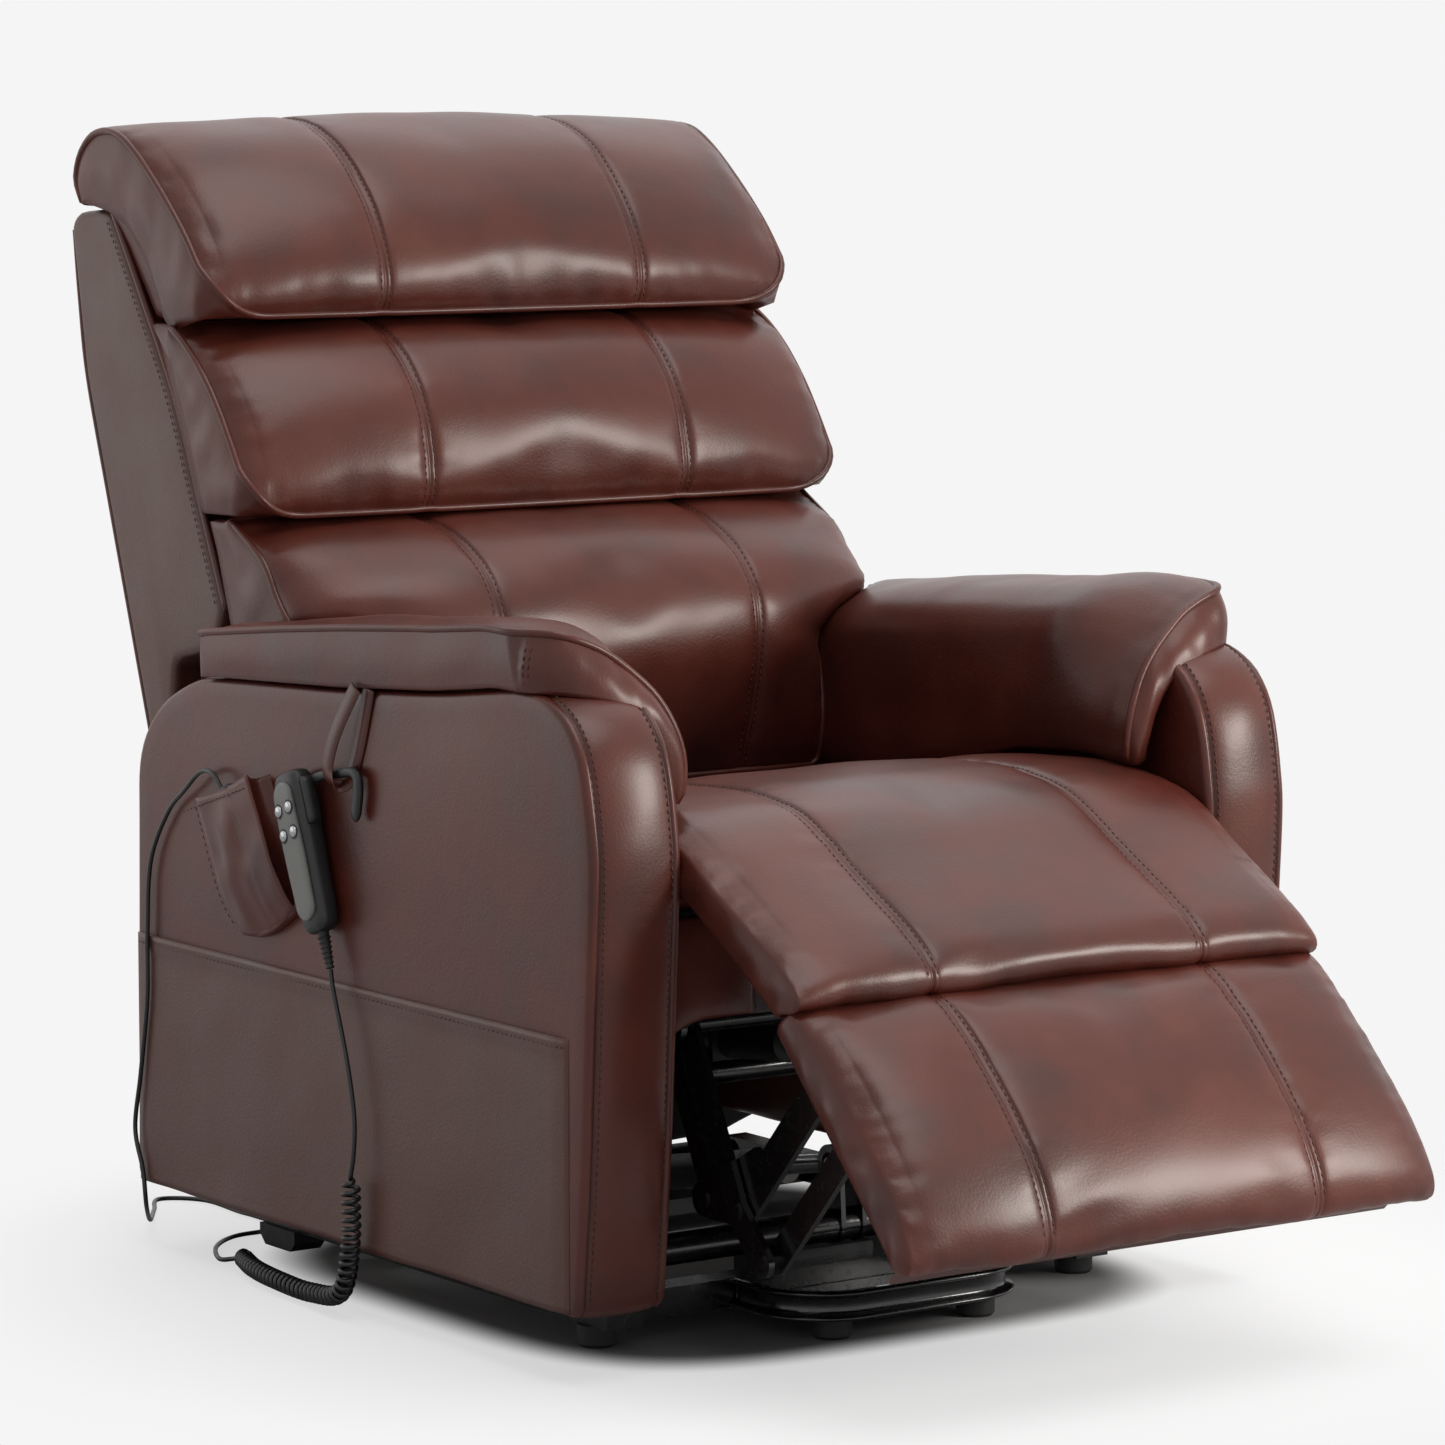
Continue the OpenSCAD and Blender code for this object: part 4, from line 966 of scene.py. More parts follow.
HEAD = dict(
    side=[(390, 893), (383, 904), (388, 922), (408, 950), (434, 978), (475, 1014), (518, 1046), (556, 1064),
          (596, 1063), (624, 1044), (634, 1018), (622, 997)],
    middle=[(376, 893), (367, 907), (366, 930), (376, 962), (403, 1006), (450, 1050), (510, 1074), (572, 1077),
            (624, 1062),
            (650, 1030), (646, 996)],
    back=[(394, 892), (448, 878), (466, 888), (479, 910), (496, 940), (534, 976), (570, 988), (600, 993), (618, 995)],
    deep=[(392, 892), (420, 889), (504, 888), (583, 984), (600, 991), (620, 993.5)],
    half=337, corner=66, round_to=3.6, crown=0.34, seed=3,
)
MID = dict(
    side=[(316, 709), (309, 720), (314, 740), (336, 776), (362, 812), (392, 844), (420, 866), (446, 881)],
    middle=[(300, 709), (290, 724), (289, 750), (300, 800), (322, 838), (352, 866), (396, 884), (446, 888)],
    back=[(318, 710), (386, 708), (394, 720), (418, 780), (440, 830), (456, 870), (451, 876)],
    deep=[(318, 712), (340, 706), (418, 706), (496, 872), (510, 883), (456, 884)],
    half=341, corner=60, round_to=4.2, crown=0.28, seed=5,
)
LUMBAR = dict(
    side=[(204, 446), (196, 470), (194, 510), (206, 560), (242, 606), (270, 636), (294, 668), (350, 701)],
    middle=[(200, 446), (187, 486), (172, 536), (163, 586), (170, 628), (200, 664), (258, 692), (345, 706)],
    back=[(200, 448), (300, 448), (340, 560), (359, 616), (378, 671), (392, 700), (356, 703)],
    deep=[(200, 448), (311, 448), (371, 606), (412, 700), (352, 703)],
    half=332, corner=10, round_to=5, crown=0.25, seed=8,
)


class RECLINER_OT_back_pillows(bpy.types.Operator):
    """Adds the head, middle and lumbar pillows with piping and double-stitched seams"""

    bl_idname = "recliner.back_pillows"
    bl_label = "Back pillows"

    def execute(self, context):
        leather = material("leather")
        fill = context.scene.recliner_sizes.fill
        for name, pad, nodes in (
            ("head", Pad(**HEAD), ("head_pillow",)),
            ("middle", Pad(**MID), ("mid_pillow",)),
            ("lumbar", LumbarPad(**LUMBAR), ("lumbar_pillow", "lumbar_base")),
        ):
            obj = pad.mesh(name + "_cushion", leather, pressure=fill, cap=5)
            leather_piece(obj, "backrest", nodes)
            piping(name + "_piping", pad.border(), "backrest", 3.6, up=(0, 1, 0.1))
            thread_piece(name + "_stitching", pad.seam_stitches(), "backrest")
        return {"FINISHED"}


class LumbarPad(Pad):
    """The lumbar pillow is narrow between the arms and widens above them."""

    def width(self, v):
        z = np.interp(np.clip(v, 0, 1), np.linspace(0, 1, self.rows), self.side[:, 1])
        t = np.clip((z - 562) / 55, 0, 1)
        t = t * t * (3 - 2 * t)
        return 243 + (self.half - 243) * t


# ---------------------------------------------------------------- seat and footrest
SEAT = dict(
    side=[(-468, 340), (-484, 342), (-493, 348), (-491, 358), (-465, 377), (-431, 399), (-395, 420), (-360, 441),
          (-328, 460), (-295, 471), (-256, 476), (-205, 477), (-100, 467), (20, 437), (124, 410)],
    middle=[(-470, 341), (-486, 343), (-499, 352), (-499, 367), (-485, 383), (-456, 402), (-418, 424), (-378, 446),
            (-342, 466), (-304, 483), (-262, 491), (-206, 494), (-100, 487), (20, 456), (138, 418)],
    back=[
        (-460, 338), (-448, 346), (-420, 366), (-380, 392), (-340, 416), (-306, 430), (-286, 404), (-200, 401),
        (130, 401)
    ],
    half=289, round_to=9, crown=0.2, seed=13, rows=160,
)


class SeatPad(Pad):
    """The seat and the knee cover are one: the knee part is a little narrower at its sewn crease."""

    def width(self, v):
        t = np.clip(np.asarray(v) / 0.36, 0, 1)
        return 286 + 4 * t


def foot(s, n):
    """A point of the footrest: s along its face from the crease, n out of it."""
    p = CREASE + s * TOE + n * FACE
    return (p[0], p[1])


FOOT = dict(
    side=[
        foot(*q)
        for q in (
            (250, -38), (257, -34), (260, -26), (250, -16), (222, -9), (180, -5), (120, -6), (60, -10), (22, -13),
            (6, -17)
        )
    ],
    middle=[
        foot(*q)
        for q in (
            (250, -38), (260, -34), (266, -24), (261, -11), (246, 0), (222, 10), (190, 18), (156, 22), (112, 22),
            (60, 17), (22, 8), (4, -9)
        )
    ],
    back=[foot(*q) for q in ((242, -39.7), (8, -39.7))],
    half=288, round_to=9, crown=0.3, seed=17, rows=92,
)


class RECLINER_OT_seat(bpy.types.Operator):
    """Adds the seat cover, which runs over the knee rest to the crease"""

    bl_idname = "recliner.seat"
    bl_label = "Seat"

    def execute(self, context):
        pad = SeatPad(**SEAT)
        fill = context.scene.recliner_sizes.fill
        cover = pad.mesh("seat_cover", material("leather"), pressure=fill, cap=4)
        paint_hollow_shade(cover)
        stitch = joined("seat_stitching", pad.seam_stitches(0.06, 0.9), material("thread"))
        for piece in (cover, stitch):
            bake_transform(piece)
        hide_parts("seat_cushion", "knee_pad")
        return {"FINISHED"}


class RECLINER_OT_footrest(bpy.types.Operator):
    """Adds the footrest pad and its rounded toe"""

    bl_idname = "recliner.footrest"
    bl_label = "Footrest"

    def execute(self, context):
        pad = Pad(**FOOT)
        fill = context.scene.recliner_sizes.fill
        obj = pad.mesh("footrest_cushion", material("leather"), pressure=fill, cap=4)
        leather_piece(obj, "footrest", ("footrest_pad",))
        thread_piece("footrest_stitching", pad.seam_stitches(0.14, 0.95), "footrest")
        return {"FINISHED"}


# ---------------------------------------------------------------- arms
ARM_TOP = [
    (-201, 597), (-87, 584), (67, 573), (174, 568), (300, 562), (330, 558), (362, 547), (394, 531), (420, 509),
    (436, 485), (443, 458), (444, 420)
]


ARM_NOSE = [(-335, 449), (-331, 490), (-326, 518), (-319, 543), (-307, 564), (-288, 582), (-256, 596), (-225, 598)]


def arm_outline(n=220):
    """Side view of an arm: the cover stands a little proud of the box at its front top corner."""
    pts = [(ARM_FRONT + 8, ARM_BOTTOM), (ARM_FRONT, ARM_BOTTOM + 8)]
    pts += [
        tuple(p)
        for p in curve_through([(-312, 82), (-316, 130), (-323, 213), (-331, 360)] + ARM_NOSE + ARM_TOP, 110)
    ]
    pts += [(ARM_BACK, ARM_BOTTOM + 8), (ARM_BACK - 8, ARM_BOTTOM), (ARM_FRONT + 8, ARM_BOTTOM)]
    return evenly(np.array(pts), n + 1)[:-1]


def outward(loop):
    """Outward directions along a closed outline."""
    d = np.roll(loop, -1, 0) - np.roll(loop, 1, 0)
    n = np.stack([-d[:, 1], d[:, 0]], 1)
    n /= np.linalg.norm(n, axis=1)[:, None] + 1e-9
    if ((loop - loop.mean(0)) * n).sum() < 0:
        n = -n
    return n


def arm_box(name, sign, node):
    """One arm: stitched gusset over front and top, crowned inner and outer panels."""
    loop = arm_outline()
    normal = outward(loop)
    stations = [(0.0, -7.0), (0.5, -4.6), (1.4, -2.6), (3.0, -1.0), (5.0, -0.2), (7.2, 0.2), (8.4, -1.5), (9.4, -1.7),
                (10.6, 0.2), (13, 1.4), (18, 2.9), (26, 4.4), (36, 5.5), (47, 5.9)]
    width = ARM_OUT - ARM_IN
    stations += [(width - x, d) for x, d in stations[-2::-1]]
    rings = []
    for x, d in stations:
        ring = []
        for p, n in zip(loop, normal):
            low = np.clip((p[1] - 80) / 60, 0, 1)
            front = d if d < 0 else d * (0.35 + 0.65 * low)
            front += 0.9 * wrinkle(x, p[0], p[1], 46, 3 * sign) * min(1, max(0, d + 1.5))
            q = p + n * (front - 0.8)
            ring.append((sign * (ARM_IN + x), q[0], q[1]))
        rings.append(np.array(ring))
    caps = [
        end_panel(ring, sign * out, 25, 2.2, 1.2, 5, (7 * out, 150, 5 * sign))
        for ring, out in ((rings[0], -1), (rings[-1], 1))
    ]
    verts, faces = skin(caps[0][::-1] + rings + caps[1])
    obj = new_mesh(name, verts, faces, material("leather"), "chair")
    paint_hollow_shade(obj)
    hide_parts(node)
    return obj


def arm_z(y):
    """Height of the arm's top at y, front corner and rear corner included."""
    return float(np.interp(y, *zip(*(ARM_NOSE + ARM_TOP))))


def pad_y(y, x):
    """Where row y of the pad runs at x: its rear end is cut askew."""
    end = np.interp(x, [292, 345, 388], [224, 262, 312])
    return y if y < 60 else 60 + (end - 60) * (y - 60) / 252


def pad_foot(y):
    """Where the pad's inner side ends, just above the seat."""
    return float(np.interp(y, [-280, -206, -100, 20, 130, 300], [494, 499, 492, 464, 440, 440]))


# The pad's piped front edge and the lower edge of its boxing: x, y, z
PAD_FRONT = [(390, -210, 648), (386, -222, 648), (380, -238, 648.5), (371, -252, 648), (360, -260, 645),
             (340, -262, 638), (320, -263, 628), (300, -266, 613), (280, -269, 595), (265, -271, 575),
             (255, -273, 554), (249, -273, 532), (248, -270, 506), (252, -266, 496)]
PAD_FRONT_LOW = [(390, -226, 597), (386, -240, 597), (380, -254, 597), (371, -264, 596), (360, -272, 595),
                 (340, -280, 591), (320, -284, 585), (300, -285, 575), (284, -284, 560), (273, -283, 540),
                 (268, -281, 520), (266, -278, 506), (268, -274, 498), (270, -270, 494)]


def pad_section(y, low):
    """Across the pad at y: its top from outer piping to inner foot, or its underside, as height above the arm."""
    z, foot_z = arm_z(y) + 0.8, pad_foot(y)
    h = float(np.interp(y, [-228, -62, 66, 173, 312], [53, 56, 55, 50, 42]))
    if low:
        return [(390, 0.8), (384, 0.4), (376, 0.4), (364, 0.4), (350, 0.6), (334, 0.6), (318, 0.6), (304, 0.6),
                (294, 0.6),
                (291, -8), (290.6, -30), (290, foot_z + 22 - z), (284, foot_z + 5 - z), (272, foot_z + 1 - z)]
    return [(390, h), (378, h + 4), (364, h + 6), (348, h + 6), (330, h + 4), (312, h + 1), (296, h - 3),
            (280, h - 10), (266, h - 19), (256, h - 31), (250, h - 46),
            (246.5, 0.55 * (560 - z) + 0.45 * (foot_z + 60 - z)), (246.5, foot_z + 24 - z), (254, foot_z - z)]


def arm_pad(name, sign, node):
    """Arm pad: soft top that rolls down to the seat, boxed along its outer side and round its front."""
    us = np.linspace(0, 1, 64)
    top, low = [], []
    ys = np.concatenate([[312, 309, 303, 294], np.linspace(280, -150, 62), np.linspace(-160, -262, 26)])
    front, front_low = curve_through(PAD_FRONT, 64), curve_through(PAD_FRONT_LOW, 64)
    sections = {
        side: [
            curve_through([(x, y, arm_z(y) + 0.8 + h) for x, h in pad_section(y, side)], 64)
            for y in range(-150, -292, -2)
        ]
        for side in (False, True)
    }
    for y in ys:
        lines = []
        for low_side, end in ((False, front), (True, front_low)):
            if y >= -150:
                line = [(x, pad_y(y, x), arm_z(pad_y(y, x)) + 0.8 + h) for x, h in pad_section(y, low_side)]
                lines.append(curve_through(line, 64))
                continue
            # past here the rows fan out: each point keeps the section of its own place along the arm
            t = (-150 - y) / 112
            blend = t * t * (3 - 2 * t)
            own = -150 * (1 - t) + end[:, 1] * t
            line = np.array([sections[low_side][int(round((-150 - v) / 2))][k] for k, v in enumerate(own)])
            line = line * (1 - blend) + end * blend
            line[:, 1] = own
            lines.append(line)
        a, b = lines
        if y > 290:
            a[:, 2] -= (y - 290) / 22 * 9 * np.sin(math.pi * us) ** 0.5
        top.append(a)
        low.append(b)
    top, low = np.array(top), np.array(low)
    m, n = top.shape[:2]
    moved = top.copy()
    turn = np.sign(np.cross(top[31, 10] - top[29, 10], top[30, 11] - top[30, 9])[2])
    for i in range(m):
        for j in range(n):
            x, y, z = top[i, j]
            inside = min(1, i / 5, (m - 1 - i) / 5, j / 4, (n - 1 - j) / 3)
            near = math.exp(-(((m - 1 - i) / 7) ** 2)) + 0.5 * math.exp(-((j / 6) ** 2))
            d = 1.8 * wrinkle(x, y, z, 75, 11 * sign) + 1.9 * near * wrinkle(x, y * 0.4, z, 17, 2 * sign)
            nrm = np.cross(
                top[min(i + 1, m - 1), j] - top[max(i - 1, 0), j], top[i, min(j + 1, n - 1)] - top[i, max(j - 1, 0)]
            )
            nrm /= np.linalg.norm(nrm) + 1e-9
            moved[i, j] += nrm * turn * (d + 2.0) * inside

    top = moved

    def swell(ring, t):
        out = []
        for x, y, z in ring:
            side = 1.0 if x > 340 or y < -230 else 0.4
            seam = 2.0 * math.exp(-(((y + 236) / 5.5) ** 2)) if x > 372 else 0
            fold = 2.4 * wrinkle(x, y * 0.7, z * 0.25, 17, 5 + sign) if y < -240 else 0.9 * wrinkle(x, y, z, 60, 3)
            out.append((5.0 * side + fold) * math.sin(math.pi * t) - seam)
        return out

    top[:, :, 0] *= sign
    low[:, :, 0] *= sign
    obj = boxed(name, top, low, 12, swell, material("leather"))
    leather_piece(obj, "chair", (node,))
    edge = np.vstack([top[:, 0], top[-1, 1:]])
    piping(name + "_piping", edge, "chair", 3.6, up=(0.3, 0.0, 1))
    parts = []
    upper, outside_painted_shade_patch = np.vstack([top[:, 0], top[-1, 1:20]]), np.vstack([low[:, 0], low[-1, 1:20]])
    for dy in (-2.6, 2.6):
        seam, out = [], []
        for t in np.linspace(0.08, 0.92, 24):
            ring = upper * (1 - t) + outside_painted_shade_patch * t
            x, z = (np.interp(236 - dy, -ring[:, 1], ring[:, a]) for a in (0, 2))
            x2 = np.interp(239 - dy, -ring[:, 1], ring[:, 0])
            n = np.array([sign * 3.0, -abs(x - x2), 0])
            n /= np.linalg.norm(n)
            seam.append(np.array([x, -236 + dy, z]) + n * (6.2 * math.sin(math.pi * t) - 0.9))
            out.append(n)
        parts += stitches(np.array(seam), np.array(out))
    thread_piece(name + "_stitching", parts, "chair")
    return obj


def skirt(name, sign, node):
    """Lower outer panel with a turned and stitched hem along its top; it hangs in shallow waves."""
    y0, y1 = ARM_FRONT + 12, ARM_BACK - 10
    nu, nv = 110, 44
    outer, inner = [], []
    for i in range(nu):
        u = i / (nu - 1)
        y = y0 + (y1 - y0) * u
        for j in range(nv):
            v = j / (nv - 1)
            z = HEM_Z - (HEM_Z - ARM_BOTTOM - 4) * v
            wave = 1.5 * math.sin(u * 19 + 1.2 * math.sin(v * 3)) * v**1.5 + 1.0 * wrinkle(y, z, 0, 70, 4 + sign)
            lip = (
                2.4 * math.exp(-((v * (HEM_Z - ARM_BOTTOM) / 5) ** 2))
                + 1.0 * math.exp(-(((v * (HEM_Z - ARM_BOTTOM) - 11) / 5) ** 2))
            )
            groove = -1.2 * math.exp(-(((v * (HEM_Z - ARM_BOTTOM) - 8.5) / 1.2) ** 2))
            edge = min(1, u * 40, (1 - u) * 40)
            x = ARM_OUT + 2.9 + (wave + lip + groove) * edge - 2.0 * (1 - edge)
            outer.append((sign * x, y, z))
            inner.append((sign * (ARM_OUT - 3), y, z))
    obj = new_mesh(name, outer + inner, thick_sheet(nu, nv), material("side_leather"), "chair")
    paint_hollow_shade(obj)
    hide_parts(node)
    line = np.array([(sign * (ARM_OUT + 3.6), y, HEM_Z - 8.5) for y in np.linspace(y0 + 4, y1 - 4, 200)])
    thread_piece(name + "_stitching", stitches(line, np.tile([sign, 0, 0], (200, 1)), lift=0.5), "chair")
    return obj


class RECLINER_OT_arms(bpy.types.Operator):
    """Adds both arms, their pads and the lower side panels"""

    bl_idname = "recliner.arms"
    bl_label = "Arms"

    def execute(self, context):
        for side, sign in (("right", -1), ("left", 1)):
            arm_box(side + "_arm_cover", sign, side + "_arm")
            arm_pad(side + "_arm_cushion", sign, side + "_arm_pad")
            skirt(side + "_skirt_panel", sign, side + "_side_skirt")
            loop = arm_outline(420)
            normal = outward(loop)
            keep = [k for k in range(len(loop)) if loop[k][1] > ARM_BOTTOM + 12]
            line = loop[keep]
            nor = normal[keep]
            parts = []
            for x in (ARM_OUT - 12.4, ARM_IN + 12.4):
                path = np.column_stack([np.full(len(line), sign * x), line + nor * 0.9])
                parts += stitches(path, np.column_stack([np.zeros(len(nor)), nor]), lift=0.6)
            thread_piece(side + "_arm_stitching", parts, "chair")
        return {"FINISHED"}


# ---------------------------------------------------------------- back shell and front band
def slab(name, loop, half, edge, mat, body, crown, seed):
    """Upholstered panel of one outline: rounded edges at both ends of X and crowned end panels."""
    normal = outward(loop)
    stations = [(0.0, -edge), (0.06, -0.62 * edge), (0.2, -0.34 * edge), (0.5, -0.1 * edge), (1.0, 0.0)]
    xs = [(-half + x * edge, d) for x, d in stations]
    xs += [(-half + edge + k * (2 * half - 2 * edge) / 24, 0.0) for k in range(1, 24)]
    xs += [(half - x * edge, d) for x, d in stations[::-1]]
    rings = []
    for x, d in xs:
        full = 1 - (x / half) ** 4
        ring = []
        for p, n in zip(loop, normal):
            q = p + n * (d + 0.9 * full * wrinkle(x, p[0], p[1], 110, seed))
            ring.append((x, q[0], q[1]))
        rings.append(np.array(ring))
    ends = [end_panel(ring, out, 16, crown, 0.8, 6, (out, 120, seed)) for ring, out in ((rings[0], -1), (rings[-1], 1))]
    verts, faces = skin(ends[0][::-1] + rings + ends[1])
    obj = new_mesh(name, verts, faces, mat, body)
    paint_hollow_shade(obj)
    return obj


def softened(points, n, radius):
    """Closed outline with its corners rounded by an arc of about the radius."""
    p = np.array(points, float)
    out = []
    for k in range(len(p)):
        a, b, c = p[k - 1], p[k], p[(k + 1) % len(p)]
        la, lc = np.linalg.norm(a - b), np.linalg.norm(c - b)
        r = min(radius, 0.45 * la, 0.45 * lc)
        s, e = b + (a - b) / la * r, b + (c - b) / lc * r
        for t in np.linspace(0, 1, 7):
            out.append((1 - t) ** 2 * s + 2 * t * (1 - t) * b + t * t * e)
    out.append(out[0])
    return evenly(np.array(out), n + 1)[:-1]


SHELL = [(377, 615), (469, 815), (584, 987), (600, 990), (652, 986), (665, 973), (638, 826), (558, 594), (519, 480),
         (478, 480), (470, 560), (394, 577)]
SHELL_LOW = [(266, 330), (377, 615), (440, 615), (476, 470), (440, 335), (425, 330)]


class RECLINER_OT_back_shell(bpy.types.Operator):
    """Adds the upholstered shell behind the pillows with its welts"""

    bl_idname = "recliner.back_shell"
    bl_label = "Back shell"

    def execute(self, context):
        leather = material("leather")
        wide = slab(
            "back_shell_cover", softened(SHELL, 170, 12), 328, 9, material("side_leather"), "backrest", crown=3,
            seed=2
        )
        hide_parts("back_shell")
        low = slab("back_shell_lower_cover", softened(SHELL_LOW, 110, 8), 285, 6, leather, "backrest", crown=1, seed=6)
        front = curve_through([(374, 616), (421, 717), (467, 815), (526, 905), (583, 988)], 60)
        for sign, side in ((-1, "right"), (1, "left")):
            path = np.column_stack([np.full(60, sign * 324.5), front])
            piping(f"back_shell_{side}_welt", path, "backrest", 4.0)
            rear = curve_through([(524, 482), (561, 590), (601, 706), (641, 824), (655, 900), (664, 968)], 60)
            path = np.column_stack([np.full(60, sign * 322), rear])
            piping(f"back_shell_{side}_rear_welt", path, "backrest", 3.2)
            seam = np.column_stack([np.full(58, sign * 329.2), front[1:-1] + (11.0, -3.0)])
            thread_piece(
                f"back_shell_{side}_stitching", stitches(seam, np.tile([sign, 0, 0], (58, 1))), "backrest",
            )
        return {"FINISHED"}


class RECLINER_OT_front_band(bpy.types.Operator):
    """Adds the leather band below the seat, on both sides of the felt, and the felt itself"""

    bl_idname = "recliner.front_band"
    bl_label = "Front band"

    def execute(self, context):
        for side, x0, x1 in (("right", -291.5, -191), ("left", 191, 291.5)):
            nu, nv = 20, 30
            rings = []
            for i in range(nu):
                u = i / (nu - 1)
                x = x0 + (x1 - x0) * u
                ring = []
                for j in range(nv):
                    v = j / (nv - 1)
                    low = 309 - 15 * math.exp(-(((abs(x) - 291) / 26) ** 2))
                    z = low + (399 - low) * v
                    bulge = 4.5 * (1 - (2 * u - 1) ** 4) * (1 - (2 * v - 1) ** 4) + 0.8 * wrinkle(x, z, 0, 40, 5)
                    ring.append((x, -298.5 - bulge, z))
                ring += [(x, -290.4, 399), (x, -290.4, 370), (x, -290.4, 338), (x, -290.4, low)]
                rings.append(ring)
            obj = loft("front_band_" + side, rings, material("leather"), "chair", caps=2)
            paint_hollow_shade(obj)
        top = loft(
            "front_band_top",
            [
                [
                    (x, -298.3, 387), (x, -298.8, 392), (x, -298.3, 398.5), (x, -292, 399), (x, -290.4, 399),
                    (x, -290.4, 387)
                ]
                for x in np.linspace(-190, 190, 20)
            ],
            material("leather"), "chair", caps=1,
        )
        paint_hollow_shade(top)
        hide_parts("seat_front")
        rings = []
        for x in np.linspace(-189.5, 189.5, 60):
            ring = []
            for z in np.linspace(308.5, 386.5, 26):
                ring.append((x, -297.6 - 0.9 * wrinkle(x, z, 0, 46, 8) - 0.5 * wrinkle(x, z, 3, 15, 8), z))
            ring += [(x, -293.8, 386.5), (x, -293.8, 308.5)]
            rings.append(ring)
        felt = loft("felt_cloth", rings, material("felt"), "chair", caps=1)
        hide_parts("felt_strip")
        return {"FINISHED"}


# ---------------------------------------------------------------- hand control
HAND_AT, HAND_TILT = np.array([-ARM_OUT - 2, 77.0, 352.0]), math.radians(-20.8)


def on_hand(points):
    """From the hand control's own axes to where it hangs."""
    p = np.atleast_2d(np.asarray(points, float))
    c, s = math.cos(HAND_TILT), math.sin(HAND_TILT)
    return np.column_stack([p[:, 0], p[:, 1] * c - p[:, 2] * s, p[:, 1] * s + p[:, 2] * c]) + HAND_AT


HAND_SHAPE = [  # height, width, thickness
    (0, 20, 12), (0.8, 26, 16), (2.4, 31, 19.5), (5, 35.5, 22.5), (10, 39, 24.4), (22, 41, 25.4), (45, 41.6, 25.8),
    (70, 42.6, 26.6),
    (92, 44.6, 27.4), (112, 45.8, 28), (128, 45.6, 27.8), (138, 44, 26.6), (144, 40.5, 24.4), (147.5, 36, 21.4),
    (149.4, 30, 17.5), (150, 23, 13),
]


def hand_size(z):
    """Width and thickness of the hand control at height z."""
    zs, ws, ts = zip(*HAND_SHAPE)
    return np.interp(z, zs, ws), np.interp(z, zs, ts)


def hand_ring(z, grow=0.0, n=56):
    """Outline of the hand control at height z."""
    w, t = hand_size(z)
    middle = -hand_size(70)[1] / 2 - 0.6
    a = np.linspace(0, 2 * math.pi, n, endpoint=False)
    e = 0.62
    x = np.sign(np.cos(a)) * np.abs(np.cos(a)) ** e * (t / 2 + grow)
    y = np.sign(np.sin(a)) * np.abs(np.sin(a)) ** 0.72 * (w / 2 + grow)
    return np.column_stack([middle + x, y, np.full(n, float(z))])


def face_line(z):
    """How far the front of the hand control stands off, at height z."""
    return -hand_size(70)[1] / 2 - 0.6 - hand_size(z)[1] / 2


